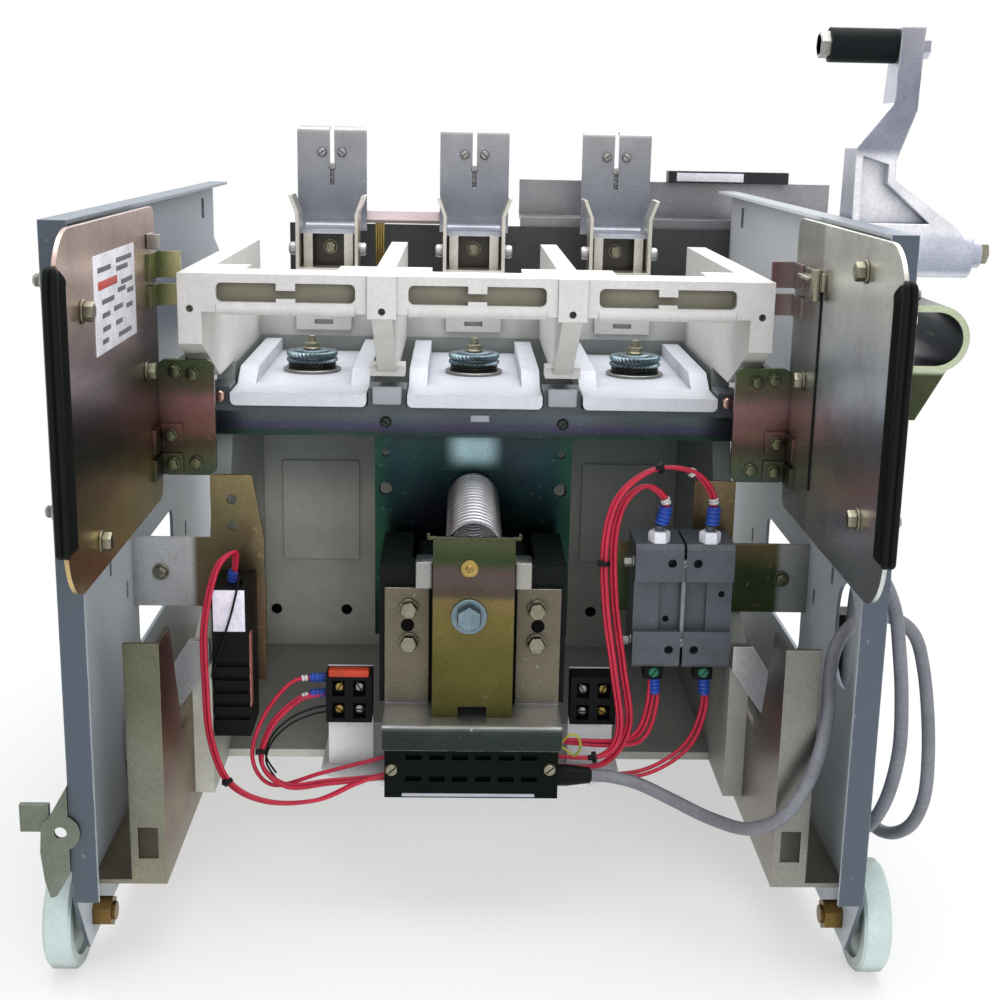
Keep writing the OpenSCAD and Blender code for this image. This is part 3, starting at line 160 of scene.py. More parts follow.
class Look(Nodes):
    """A node material built up in layers of colour, roughness and height, in the frame's own coordinates."""

    def __init__(self, name, colour, rough, metal=0.0, edge=0.6, shine=0.5):
        self.material = bpy.data.materials.new(name)
        self.material.use_nodes = True
        super().__init__(self.material.node_tree)
        self.shader = self.tree.nodes["Principled BSDF"]
        self.colour, self.rough, self.height = srgb(*colour), rough, None
        for key, value in (("Base Color", self.colour), ("Roughness", rough), ("Metallic", metal),
                           ("Specular IOR Level", shine)):
            self.shader.inputs[key].default_value = value
        coords = self.node("ShaderNodeTexCoord")
        self.place = coords.outputs["Object"]
        self.normal = coords.outputs["Normal"]
        self.bevel = self.node("ShaderNodeBevel", Radius=mm(edge))
        self.bevel.samples = 3
        self.bump = self.node("ShaderNodeBump", Strength=1.0, Distance=1.0, Normal=self.bevel.outputs[0])
        self.feed(self.shader.inputs["Normal"], self.bump.outputs[0])

    def noise(self, size, detail=3.0, stretch=(1, 1, 1), seed=0.0):
        """Noise whose features are about size millimetres, drawn out along an axis by stretch."""
        moved = self.node("ShaderNodeMapping", Vector=self.place, Scale=[1 / s for s in stretch],
                          Location=(seed, seed * 0.7, seed * 1.3))
        return self.node("ShaderNodeTexNoise", Vector=moved.outputs[0], Scale=1000 / size, Detail=detail).outputs[0]

    def along(self, axis, ragged=0.0):
        """Position along x, y or z in truck millimetres, made to wander by noise if asked."""
        split = self.node("ShaderNodeSeparateXYZ", Vector=self.place)
        start = {"X": MIDDLE, "Y": FRONT, "Z": LIFT}[axis]
        place = self.times(self.math("SUBTRACT", split.outputs[axis], start), 1000)
        if ragged:
            wander = self.math("SUBTRACT", self.noise(55), 0.5)
            place = self.math("ADD", place, self.times(wander, 2 * ragged))
        return place

    def span(self, axis, low, high, ragged=0.0):
        """0 to 1 from low to high along an axis."""
        return self.fit(self.along(axis, ragged), low, high)

    def facing(self, axis, sign=0, low=0.55, high=0.8):
        """Surfaces that face along an axis, one way or both."""
        value = self.node("ShaderNodeSeparateXYZ", Vector=self.normal).outputs[axis]
        value = self.times(value, sign) if sign else self.math("ABSOLUTE", value)
        return self.fit(value, low, high)

    def paint(self, mask, colour, amount=1.0):
        """Lays a colour, or a socket's colour, over what is there, by a mask from 0 to 1."""
        made = self.node("ShaderNodeMix")
        made.data_type = "RGBA"
        self.feed(made.inputs[0], mask if amount == 1 else self.times(mask, amount))
        self.feed(made.inputs[6], self.colour)
        self.feed(made.inputs[7], colour if isinstance(colour, bpy.types.NodeSocket) else srgb(*colour))
        self.colour = made.outputs[2]
        return self

    def ramp(self, axis, stops, ragged=0.0):
        """Colours that change along an axis: each stop is truck millimetres, rising, and its colour."""
        start, end = stops[0][0], stops[-1][0]
        part = self.math("DIVIDE", self.math("SUBTRACT", self.along(axis, ragged), start), end - start, clamp=True)
        made = self.node("ShaderNodeValToRGB", Fac=part)
        line = made.color_ramp
        line.interpolation = "EASE"
        while len(line.elements) < len(stops):
            line.elements.new(0.5)
        for element, (place, *colour) in zip(line.elements, stops):
            element.position = (place - start) / (end - start)
            element.color = srgb(*colour)
        self.colour = made.outputs[0]
        return self

    def dull(self, mask, change):
        """Adds to the roughness by a mask."""
        self.rough = self.math("ADD", self.rough, self.times(mask, change), clamp=True)
        return self

    def raise_by(self, mask, depth):
        """Adds to the surface's height, depth in millimetres."""
        part = self.times(mask, mm(depth))
        self.height = part if self.height is None else self.math("ADD", self.height, part)
        return self

    def mottle(self, colour, size, share, amount, seed=0.0):
        """Soft clouds of a colour over a share of the surface."""
        cut = 0.5 + (0.5 - share) * 0.45
        return self.paint(self.fit(self.noise(size, seed=seed), cut - 0.2, cut + 0.2), colour, amount)

    def shade(self, size, low, high, seed=41.0, stretch=(1, 1, 1), detail=3.0):
        """Fine lighter and darker flecks of the colour that is there."""
        gain = self.fit(self.noise(size, detail, stretch, seed), 0.3, 0.7, low, high, "LINEAR")
        scaled = self.node("ShaderNodeVectorMath", "SCALE", Scale=gain)
        self.feed(scaled.inputs[0], self.colour if isinstance(self.colour, bpy.types.NodeSocket) else self.colour[:3])
        self.colour = scaled.outputs[0]
        return self

    def band(self, axis, low, high, colour, amount=1.0, ragged=0.0):
        """A colour that comes in from low to high along an axis."""
        return self.paint(self.span(axis, low, high, ragged), colour, amount)

    def grain(self, size, depth, stretch=(1, 1, 1), dull=0.0, seed=3.0):
        """Fine relief, which may vary the roughness too."""
        field = self.noise(size, 2.0, stretch, seed)
        self.raise_by(field, depth)
        return self.dull(self.math("SUBTRACT", field, 0.5), dull) if dull else self

    def scratches(self, colour, size, stretch, amount):
        mask = self.fit(self.noise(size, 2.0, stretch, 9.0), 0.68, 0.74)
        return self.paint(mask, colour, amount).raise_by(mask, -0.004)

    def edges(self, colour, amount):
        """Wear along the edges, broken up by noise."""
        dot = self.node("ShaderNodeVectorMath", "DOT_PRODUCT")
        self.feed(dot.inputs[0], self.bevel.outputs[0])
        self.feed(dot.inputs[1], self.node("ShaderNodeNewGeometry").outputs["Normal"])
        edge = self.fit(dot.outputs["Value"], 0.995, 0.86)
        return self.paint(self.times(edge, self.fit(self.noise(9, seed=5), 0.3, 0.55)), colour, amount)

    def hidden(self, reach, samples, low, high):
        """Corners and hollows within reach."""
        made = self.node("ShaderNodeAmbientOcclusion", Distance=mm(reach))
        made.samples = samples
        return self.fit(made.outputs["AO"], low, high)

    def dirt_and_shade(self, colour, reach, amount=0.6):
        """Dirt and painted shade in the corners, found by ambient occlusion."""
        uneven = self.math("ADD", 0.5, self.times(self.noise(22, seed=7), 0.8), clamp=True)
        mask = self.times(self.hidden(reach, 3, 0.9, 0.3), uneven, amount)
        return self.paint(mask, colour).dull(mask, 0.15)

    def done(self):
        self.feed(self.shader.inputs["Base Color"], self.colour)
        self.feed(self.shader.inputs["Roughness"], self.rough)
        if self.height is not None:
            self.feed(self.bump.inputs["Height"], self.height)
        return self.material


def metal(name, base, rough, edge, *clouds):
    """Metal with soft clouds of tint, each a colour, size, share and amount."""
    look = Look(name, base, rough, metal=1.0, edge=edge)
    for i, cloud in enumerate(clouds):
        look.mottle(*cloud, seed=6 * i)
    return look


def finish_metal(look, base, rolled=(1, 1, 1), dirt_and_shade=(60, 54, 44), bright=1.3):
    """Rolled grain, flecks, handling marks and bright edges that plated sheet has, and dirt with painted shade in the
    corners.
    """
    look.shade(1.7, 0.9, 1.1, detail=2).shade(26, 0.92, 1.08, seed=57).grain(1.6, 0.004, rolled, dull=0.16)
    look.scratches(tinted(base, bright), 5, (1, 12, 1), 0.25)
    look.edges(tinted(base, bright, 26), 0.75)
    return look.dirt_and_shade(dirt_and_shade, 14).done()


def plated(name, base, tints, rough, size, rolled=(1, 1, 1), bright=1.3):
    """Zinc plate with a chromate film: soft clouds of tint over metal."""
    look = metal(name, base, rough, 0.7)
    for i, (*colour, share, amount) in enumerate(tints):
        look.mottle(colour, size * (1 + 0.4 * i), share, amount, seed=11.0 * i + 1)
    return finish_metal(look, base, rolled, bright=bright)


def graded(name, axis, stops, rough, ragged, tints=()):
    """Plated sheet whose colour changes along one axis, stop by stop."""
    middle = stops[len(stops) // 2][1:]
    look = metal(name, middle, rough, 0.7).ramp(axis, stops, ragged)
    for i, (*colour, share, amount) in enumerate(tints):
        look.mottle(colour, 34 * (1 + 0.5 * i), share, amount, seed=7.0 * i + 2)
    return finish_metal(look, middle, dirt_and_shade=(40, 36, 30), bright=1.4)


def moulded(name, base, stain, dirt_and_shade, rough=0.42, reach=18, front=None):
    """Moulded insulation: faint flow marks, rubbed edges, dust with painted shade in the corners; its front faces may
    get a darker colour as painted shade.
    """
    look = Look(name, base, rough, edge=0.9, shine=0.4)
    look.mottle(stain, 55, 0.4, 0.5)
    # Forward faces in the colour given as front: painted shade.
    if front:
        look.paint(look.facing("Y", -1), front, 0.85)
    look.shade(2.6, 0.95, 1.04, detail=2).shade(16, 0.95, 1.03, seed=17)
    look.grain(3.5, 0.02, dull=0.2).grain(28, 0.08, seed=13)
    look.edges(tinted(base, 1.05, 6), 0.6)
    return look.dirt_and_shade(dirt_and_shade, reach).done()


def plastic(name, base, rough=0.42, shine=0.4, grain=1.2, worn=1.5, edge=0.5, dark=0.45):
    """Plastic with a fine moulded grain, lighter rubbed edges, and dust with painted shade in the corners."""
    look = Look(name, base, rough, edge=edge, shine=shine)
    look.mottle(tinted(base, 0.8), 18, 0.45, 0.5)
    look.shade(2.2, 0.9, 1.12, detail=2).grain(grain, 0.014, dull=0.2)
    look.edges(tinted(base, worn, 12), 0.6)
    return look.dirt_and_shade(tinted(base, dark), 8).done()


def painted_plate():
    look = Look("plate_paint", (124, 134, 146), 0.42, edge=0.9)
    look.mottle((138, 149, 160), 70, 0.45, 0.5)
    look.shade(2.4, 0.95, 1.05, detail=2).shade(24, 0.95, 1.05, seed=5).grain(1.6, 0.012, dull=0.2)
    # Painted light: the plates' inward faces lighter, palest on the right plate's upper part; painted shade on the left
    # plate's upper part.
    sideways = look.node("ShaderNodeSeparateXYZ", Vector=look.normal).outputs["X"]
    lit_inner_faces = look.fit(look.times(sideways, look.math("DIVIDE", look.along("X"), -PLATE_FACE)), 0.55, 0.8)
    high = look.times(lit_inner_faces, look.span("Z", 330, 400))
    look.paint(lit_inner_faces, (190, 200, 208))
    look.paint(look.times(high, look.span("X", -20, -60)), (136, 146, 158))
    look.paint(look.times(high, look.span("X", 20, 60)), (238, 242, 248))
    # Painted shade: forward faces darker.
    look.paint(look.facing("Y", -1), (66, 76, 88))
    look.scratches((160, 170, 178), 4, (1, 10, 2), 0.35)
    look.edges((180, 188, 196), 0.8)
    return look.dirt_and_shade((70, 78, 84), 18).done()


def bright_panel():
    stops = [(276, 206, 212, 208), (300, 208, 212, 210), (318, 224, 216, 210), (342, 206, 206, 206),
             (372, 188, 196, 202), (400, 194, 198, 202), (425, 206, 207, 206), (447, 226, 227, 220),
             (474, 246, 246, 236)]
    # Colour by height, palest at the top: painted reflection. Behind y 110 the panel is darker.
    look = metal("bright_panel", (150, 152, 150), 0.3, 0.8).ramp("Z", stops, 9)
    look.band("Y", 100, 110, (132, 132, 122), 0.55)
    look.mottle((168, 168, 160), 60, 0.3, 0.3)
    look.mottle((112, 96, 96), 44, 0.22, 0.3, seed=6)
    return finish_metal(look, (160, 160, 154))


def armature_film():
    stops = [(145, 18, 30, 30), (225, 20, 34, 38), (265, 26, 44, 50), (290, 38, 60, 62), (305, 50, 64, 64),
             (309, 48, 60, 58), (315, 74, 70, 94), (320, 84, 92, 98), (325, 92, 100, 105)]
    look = metal("blue_zinc", (40, 56, 60), 0.3, 0.7).ramp("Z", stops, 1.5)
    # Painted green reflection along the plate's side lips.
    for side in SIDES:
        lip = look.times(look.span("X", 60 * side, 76 * side, 3), look.span("Z", 312, 304))
        look.paint(lip, (40, 82, 56), 0.55)
    look.mottle((52, 84, 70), 50, 0.3, 0.25)
    look.mottle((84, 66, 92), 70, 0.24, 0.3, seed=6)
    # Painted highlight: a pale patch above the spring.
    painted_highlight = look.times(look.span("X", -24, -8), look.span("X", 24, 8), look.span("Z", 276, 290),
                      look.span("Z", 310, 298))
    look.paint(painted_highlight, (178, 212, 220), 0.85)
    return finish_metal(look, (60, 80, 80), (12, 1, 1), (12, 18, 18), bright=1.6)


def rail_film():
    look = metal("rail_zinc", (126, 106, 78), 0.36, 0.8, ((150, 132, 104), 60, 0.35, 0.5), ((84, 66, 48), 48, 0.3, 0.5))
    look.paint(look.facing("Y"), (128, 130, 118), 0.9)
    look.band("Z", 130, 190, (92, 94, 72), 0.7, ragged=10)
    look.band("Z", 70, 52, (146, 140, 122), 0.6, ragged=8)
    look.band("X", 120, 160, (150, 152, 152), 0.45)
    return finish_metal(look, (126, 112, 90))


def hook_film():
    look = metal("hook_zinc", (66, 72, 54), 0.32, 0.8, ((50, 60, 46), 40, 0.4, 0.6), ((104, 98, 74), 30, 0.3, 0.45))
    look.paint(look.times(look.facing("Y"), look.span("Z", 393, 396)), (204, 214, 184), 0.9)
    # Painted shade: near-black in the hollows.
    look.paint(look.hidden(45, 16, 0.75, 0.45), (26, 24, 14), 0.95)
    return finish_metal(look, (110, 116, 80), bright=1.4)


def cast_handle():
    """Cast aluminium whose front faces are coloured by height: painted shade on the upper arm's face and the hub's
    front, a painted highlight on the web between them, a green painted reflection at the bottom.
    """
    look = metal("cast_alu", (206, 208, 218), 0.38, 1.6)
    stops = [(425, 170, 186, 186), (440, 160, 166, 182), (462, 206, 210, 224), (470, 250, 250, 255),
             (514, 250, 250, 255), (524, 142, 145, 160), (560, 132, 134, 150), (610, 158, 158, 166)]
    plain = look.colour
    front = look.ramp("Z", stops, 3).colour
    look.colour = plain
    look.paint(look.facing("Y", -1), front)
    look.mottle((176, 180, 192), 22, 0.4, 0.3)
    return finish_metal(look, (202, 205, 216), bright=1.15, dirt_and_shade=(160, 162, 172))


def strap_film(name, stops, tint, start, end, outer):
    look = metal(name, stops[0][1:], 0.34, 0.7).ramp("Z", stops, 8)
    look.mottle(tint, 34, 0.3, 0.4, seed=2)
    look.band("X", start, end, outer, 0.9)
    return finish_metal(look, stops[-1][1:], bright=1.4)


def magnet_plate():
    look = metal("magnet_steel", (120, 122, 122), 0.36, 0.9, ((100, 102, 100), 26, 0.4, 0.5))
    # Painted light: the shelf's top pale. Forward faces above z 132 brownish grey. Painted shade: the lip's forward
    # faces below z 132 dark.
    look.paint(look.times(look.facing("Z", 1, 0.86, 0.97), look.span("Z", 136, 133)), (236, 238, 240))
    look.paint(look.times(look.facing("Y", -1), look.span("Z", 132, 136)), (112, 106, 92))
    look.paint(look.times(look.facing("Y", -1, 0.2, 0.5), look.span("Z", 132, 130)), (50, 58, 56))
    return finish_metal(look, (126, 128, 128), (12, 1, 1), bright=1.5)


def base_shell():
    look = Look("base_moulding", (206, 206, 196), 0.45, edge=0.9, shine=0.3)
    look.mottle((186, 188, 180), 70, 0.45, 0.6)
    # Painted shade: darker towards the right end, towards the top of the walls, and on up-facing faces low down.
    look.band("X", 40, 110, (140, 142, 138), 0.8, ragged=8)
    look.band("Z", 190, 250, (132, 142, 144), 0.75, ragged=8)
    look.paint(look.times(look.facing("Z", 1), look.span("Z", 160, 120)), (160, 160, 156))
    look.shade(2.6, 0.94, 1.05, detail=2).shade(16, 0.94, 1.04, seed=17).grain(3.5, 0.02, dull=0.2)
    look.edges((186, 188, 182), 0.4)
    return look.dirt_and_shade((84, 88, 82), 24, 0.5).done()


def tie_board():
    look = Look("pink_board", (128, 116, 112), 0.46, edge=0.6)
    # Painted highlight: a pale line along the top edge.
    look.band("Z", 446.4, 447.2, (244, 222, 226))
    look.shade(3, 0.92, 1.06, stretch=(8, 1, 1), detail=2).grain(1.6, 0.012, dull=0.2)
    look.edges((240, 224, 222), 0.6)
    return look.dirt_and_shade((84, 72, 68), 8, 0.5).done()


def contact_film():
    look = metal("contact_plate", (232, 227, 218), 0.34, 0.5,
                 ((244, 240, 232), 18, 0.35, 0.5), ((202, 196, 182), 24, 0.35, 0.5))
    look.paint(look.times(look.span("Y", 508, 520), look.span("Z", 440, 436)), (46, 44, 42), 0.92)
    return finish_metal(look, (196, 188, 172), bright=1.2)


def spring_wire():
    """Bright wire whose flanks, facing along the coil's axis, are darker as painted shade, so that each turn shows."""
    look = metal("spring_steel", (236, 236, 240), 0.3, 0.1, ((208, 210, 216), 8, 0.35, 0.4))
    look.paint(look.facing("Y", 0, 0.45, 0.85), (146, 146, 150))
    return look.shade(1.7, 0.9, 1.1, detail=2).grain(1.2, 0.004, dull=0.16).done()


def bottle_finish():
    look = Look("ceramic", (226, 224, 216), 0.25, edge=0.8)
    look.mottle((208, 204, 192), 40, 0.4, 0.5)
    return look.shade(3, 0.96, 1.03, detail=2).grain(8, 0.02, dull=0.1).dirt_and_shade((120, 112, 98), 16).done()


def dress(material, nodes):
    """Gives CAD nodes their material."""
    for node in nodes.split():
        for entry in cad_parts[node].material_slots:
            entry.material = material


ZINC = plated("bright_zinc", (160, 160, 156), [(176, 170, 148, 0.35, 0.4), (140, 148, 160, 0.35, 0.4)], 0.3, 30)
dress(ZINC, "panel_spacers plug_clip")
BOLT = plated("bolt_zinc", (142, 140, 122), [(110, 112, 92, 0.4, 0.5), (168, 164, 146, 0.3, 0.5)],
    0.28, 8, bright=1.5)
OLIVE = plated("olive_zinc", (92, 96, 74), [(70, 78, 58, 0.4, 0.5), (124, 124, 100, 0.3, 0.5)], 0.3, 8, bright=1.8)
dress(plated("yellow_zinc", (118, 96, 52), [(96, 88, 48, 0.4, 0.6), (140, 104, 70, 0.3, 0.5)], 0.34, 30), "axles")
dress(plated("latch_zinc", (116, 122, 110), [(140, 146, 138, 0.35, 0.5), (92, 100, 88, 0.35, 0.5)], 0.36, 40),
    "latch_plate")
STRUT = plated("strut_zinc", (204, 204, 208), [(218, 216, 216, 0.35, 0.5), (180, 182, 188, 0.35, 0.5)], 0.36, 50)
dress(STRUT, "struts")
dress(plated("shelf_steel", (158, 156, 160), [(174, 170, 170, 0.35, 0.4), (136, 138, 146, 0.35, 0.4)],
    0.4, 50, rolled=(12, 1, 1)), "rear_shelf")
SPRING = spring_wire()
BLUED = plated("blue_bolt", (122, 142, 152), [(98, 122, 136, 0.4, 0.5), (150, 160, 160, 0.3, 0.4)],
    0.28, 9, bright=1.4)
BRASS = plated("brass", (170, 146, 82), [(190, 170, 110, 0.35, 0.5), (124, 100, 58, 0.3, 0.5)], 0.3, 6)
COPPER = plated("copper_pin", (214, 176, 164), [(190, 150, 140, 0.35, 0.5)], 0.3, 6)
DARKBOLT = plated("dark_bolt", (58, 64, 62), [(84, 86, 82, 0.35, 0.5)], 0.34, 6, bright=2.0)
# Left panel: colour by height, pale at the top and bottom and dark between, is painted reflection.
dress(graded("bronze_zinc", "Z", [(276, 214, 192, 132), (298, 198, 174, 120), (322, 150, 118, 96), (342, 84, 68, 58),
    (360, 72, 58, 54), (378, 108, 88, 88), (390, 150, 124, 126), (412, 168, 140, 134), (440, 206, 180, 172),
    (474, 232, 206, 196)], 0.3, 8, [(150, 128, 140, 0.25, 0.2), (110, 104, 76, 0.25, 0.2)]), "left_panel")
dress(graded("bearing_zinc", "Z", [(290, 70, 82, 74), (302, 82, 88, 70), (313, 76, 66, 58), (326, 120, 88, 84),
    (344, 140, 106, 108), (354, 100, 90, 78), (372, 84, 100, 72)], 0.32, 5, [(72, 82, 60, 0.25, 0.4)]),
    "bearing_brackets")
dress(graded("tab_zinc", "X", [(-221, 110, 124, 86), (-203, 198, 196, 146), (203, 130, 100, 106),
    (221, 166, 154, 152)], 0.3, 3, [(96, 108, 68, 0.3, 0.3)]), "panel_tabs")
BRACKET = graded("bracket_zinc", "Z", [(132, 74, 72, 40), (165, 90, 86, 46), (205, 112, 102, 60), (217, 120, 106, 70),
    (222, 84, 74, 64), (236, 92, 80, 78), (246, 60, 72, 48), (260, 78, 82, 60)], 0.32, 3)
dress(BRACKET, "spring_bracket")
dress(strap_film("aux_strap", [(160, 78, 76, 50), (190, 66, 78, 50), (215, 58, 72, 48), (240, 112, 96, 72),
    (300, 140, 114, 92)], (84, 98, 62), 222, 228, (170, 172, 170)), "aux_bracket")
dress(strap_film("relay_strap", [(110, 104, 88, 70), (190, 140, 114, 92), (225, 124, 112, 86), (262, 130, 118, 88),
    (300, 146, 130, 94)], (100, 108, 74), -200, -206, (246, 246, 248)), "relay_bracket")
# The pale band at the bend, z 437 to 446, is a painted highlight.
CLIP = graded("clip_zinc", "Z", [(437, 206, 210, 220), (446, 150, 154, 164), (456, 132, 136, 146),
    (510, 156, 158, 164), (550, 176, 170, 164)], 0.36, 4)
dress(CLIP, "fuse_clips")
# The cream moulding's forward faces are darker: painted shade.
dress(moulded("cream_moulding", (234, 233, 230), (226, 224, 215), (100, 97, 86), reach=26, front=(198, 198, 198)),
    "pole_moulding")
WHITE = moulded("white_moulding", (226, 229, 238), (212, 216, 228), (96, 98, 106), 0.38)
dress(WHITE, "carriers")
SHADE = moulded("window_shade", (150, 147, 132), (136, 134, 120), (90, 88, 76), 0.5)
# The wheels' teal tint over white is painted reflection.
dress(moulded("wheel_white", (192, 207, 205), (174, 190, 188), (70, 82, 80), 0.4),
    "wheel_front_left wheel_front_right wheel_rear_left wheel_rear_right")
PADGREY = moulded("pad_grey", (170, 174, 182), (150, 154, 164), (70, 72, 78), 0.4)
dress(moulded("plinth_grey", (236, 236, 240), (214, 215, 220), (70, 72, 74), 0.4), "magnet_base")
dress(plastic("dark_bar", (80, 87, 92), 0.38), "crossbar")
dress(plastic("grey_plastic", (76, 82, 90), worn=1.7), "aux_switches")
RIB = plastic("rib_grey", (124, 130, 132), worn=1.4)
BLACK = plastic("black_plastic", (18, 21, 20), 0.45, shine=0.1, worn=2.0)
dress(BLACK, "magnet_coil relay terminal_blocks cable_gland cable_clip plug")
dress(plastic("cover_plastic", (9, 17, 12), 0.45, shine=0.06, worn=2.2), "coil_cover")
dress(plastic("core_black", (11, 17, 14), 0.5, shine=0.14, worn=2.0), "magnet_core")
# Near-black for holes: painted shade where a hole would be dark inside.
HOLE = plastic("hole_shade", (14, 15, 14), 0.8, shine=0.05, worn=1.0)
RUBBER = plastic("trim_rubber", (15, 19, 17), 0.5, shine=0.1, worn=2.0)
dress(RUBBER, "edge_trims")
dress(plastic("grip_black", (15, 23, 24), 0.5, shine=0.1, grain=0.9, worn=1.8), "grip")
dress(plastic("duct_plastic", (36, 38, 42), shine=0.3, worn=1.8), "rear_duct")
dress(plastic("barrier_board", (74, 74, 76), 0.5, worn=1.4), "rear_barrier")
RED = plastic("red_wire", (186, 36, 64), 0.36, grain=0.8, worn=1.1, edge=0.1, dark=0.6)
SHEATH = plastic("cable_grey", (118, 120, 127), 0.48, grain=0.8, worn=1.2, edge=0.1)
TIE = plastic("tie_black", (16, 17, 18), 0.4, shine=0.2, worn=2.0, edge=0.1)
BLUE = plastic("blue_sleeve", (38, 74, 168), 0.4, worn=1.3, edge=0.1)
CLEAR = plastic("clear_sleeve", (206, 206, 210), 0.25, shine=0.5, worn=1.1, edge=0.1)
ORANGE = plastic("orange_strip", (196, 66, 40), 0.45, worn=1.2)
GREEN = plastic("green_screw", (40, 112, 88), 0.36, edge=0.2)
EARTH = plastic("earth_wire", (158, 160, 66), worn=1.1, edge=0.1)
LILAC = plastic("relay_label", (240, 236, 252), worn=1.05, edge=0.2, dark=0.7)
RUSSET = plastic("relay_side", (176, 112, 100), worn=1.2, edge=0.2)
PAPER = plastic("label_white", (228, 228, 236), worn=1.0, edge=0.1, dark=0.8)
REDINK = plastic("label_red", (192, 72, 66), 0.5, worn=1.0, edge=0.1)
INK = plastic("label_ink", (96, 96, 104), 0.5, worn=1.0, edge=0.1)
dress(painted_plate(), "left_side_plate right_side_plate")
dress(bright_panel(), "right_panel")
dress(armature_film(), "armature")
dress(rail_film(), "left_rail right_rail")
dress(hook_film(), "hook_bracket")
dress(cast_handle(), "handle_stub handle")
dress(magnet_plate(), "magnet_bracket")
dress(base_shell(), "base_moulding")
dress(tie_board(), "tie_bar")
dress(contact_film(), "contact_jaws")
dress(bottle_finish(), "vacuum_bottles")


# Mesh building

def across(axis):
    """Two unit vectors square to an axis."""
    side = axis.cross(Z if abs(axis.z) < 0.9 else X).normalized()
    return side, axis.cross(side).normalized()


class Shape:
    """One piece's mesh, in millimetres on the truck's axes until it is placed."""
    waiting = []

    def __init__(self, name, material, slot="bright_zinc", body="truck", angle=32):
        self.mesh = bmesh.new()
        self.name, self.material, self.slot, self.body, self.angle = name, material, slot, body, angle
        Shape.waiting.append(self)

    def loft(self, rings):
        """Solid through rings of points, with its ends closed."""
        rows = [[self.mesh.verts.new(at(*p)) for p in ring] for ring in rings]
        count = len(rows[0])
        for a, b in zip(rows, rows[1:]):
            for i in range(count):
                j = (i + 1) % count
                self.mesh.faces.new((a[i], a[j], b[j], b[i]))
        self.mesh.faces.new(list(reversed(rows[0])))
        self.mesh.faces.new(rows[-1])
        return self

    def turned(self, spot, axis, profile, sides=24, turn=0.0):
        """Solid of revolution: profile is a list of radius and height along the axis."""
        spot, (u, v) = Vector(spot), across(axis)
        angles = [turn + 2 * pi * i / sides for i in range(sides)]
        return self.loft([[spot + axis * h + (u * cos(a) + v * sin(a)) * max(r, 0.01) for a in angles]
                          for r, h in profile])

    def disc(self, spot, axis, d, t=0.3):
        return self.turned(spot, axis, [(d / 2, -0.2), (d / 2, t - 0.1), (d / 2 - 0.1, t)])

    def hex_head(self, spot, axis, flats, height, turn, start=0.0):
        r = flats / sqrt(3)
        levels = ((r, 0), (r, 0.78), (r * 0.93, 0.94), (r * 0.82, 1))
        return self.turned(spot, axis, [(s, start + height * h) for s, h in levels], 6, turn)

    def washer(self, spot, axis, d, t):
        r = d / 2
        return self.turned(spot, axis, [(r - 0.3, 0), (r, 0.3), (r, t - 0.3), (r - 0.4, t)])

    def bolt(self, spot, axis, flats, height, washer, turn):
        """Hex head on a washer, with the washer face under the head."""
        self.washer(spot, axis, washer, 1.6)
        self.turned(spot, axis, [(flats * 0.47, 1.5), (flats * 0.47, 2.0)])
        return self.hex_head(spot, axis, flats, height, turn, 2.0)

    def nut(self, spot, axis, turn, flats=13, height=6, washer=18, thread=8):
        """Nut on a washer, with the end of its thread."""
        self.washer(spot, axis, washer, 1.6)
        self.hex_head(spot, axis, flats, height, turn, 1.6)
        r = thread / 2
        rings = [(r, 1.6 + height * 0.9)]
        for i in range(4):
            rings += [(r, 1.6 + height + i * 1.0), (r - 0.5, 2.1 + height + i * 1.0)]
        return self.turned(spot, axis, rings + [(r - 1.2, 6.0 + height)], 20)

    def screw(self, spot, axis, d, h, turn, gap=1.1):
        """Domed screw head in two halves either side of its slot."""
        spot, (u, v) = Vector(spot), across(axis)
        u, v = u * cos(turn) + v * sin(turn), v * cos(turn) - u * sin(turn)
        levels = [(d / 2 - 0.2, 0), (d / 2, 0.4), (d / 2 * 0.96, h * 0.5), (d / 2 * 0.78, h * 0.85), (d / 2 * 0.45, h)]
        self.turned(spot, axis, [(d / 2 - 0.3, 0), (d / 2 - 0.3, h * 0.35)])
        for side in (1, -1):
            rings = []
            for r, z in levels:
                low = asin(min(0.99, gap / 2 / r))
                arc = [low + (pi - 2 * low) * i / 10 for i in range(11)]
                rings.append([spot + axis * z + (u * cos(a) + v * sin(a)) * r * side for a in arc])
            self.loft(rings)
        return self

    def block(self, low, high, bevel):
        """Box with rounded edges between two corners."""
        low, high = Vector(low), Vector(high)
        made = bmesh.ops.create_cube(self.mesh, size=1.0)
        size = [mm(abs(h - l)) for l, h in zip(low, high)]
        middle = at(*((low + high) / 2))
        for vertex in made["verts"]:
            vertex.co = middle + Vector([c * s for c, s in zip(vertex.co, size)])
        edges = list(dict.fromkeys(e for vertex in made["verts"] for e in vertex.link_edges))
        bmesh.ops.bevel(self.mesh, geom=edges, offset=mm(bevel), segments=2, profile=0.5, affect="EDGES")
        return self

    def tube(self, points, radius, sides):
        """Round tube along points, its frame carried along without twist; radius is one number or one a point."""
        points = [Vector(p) for p in points]
        sizes = radius if isinstance(radius, list) else [radius] * len(points)
        heading = (points[1] - points[0]).normalized()
        u, v = across(heading)
        rings = []
        for i, (p, r) in enumerate(zip(points, sizes)):
            new = (points[min(i + 1, len(points) - 1)] - points[max(i - 1, 0)]).normalized()
            turn = heading.rotation_difference(new)
            u, v, heading = turn @ u, turn @ v, new
            rings.append([p + (u * cos(2 * pi * k / sides) + v * sin(2 * pi * k / sides)) * r for k in range(sides)])
        return self.loft(rings)

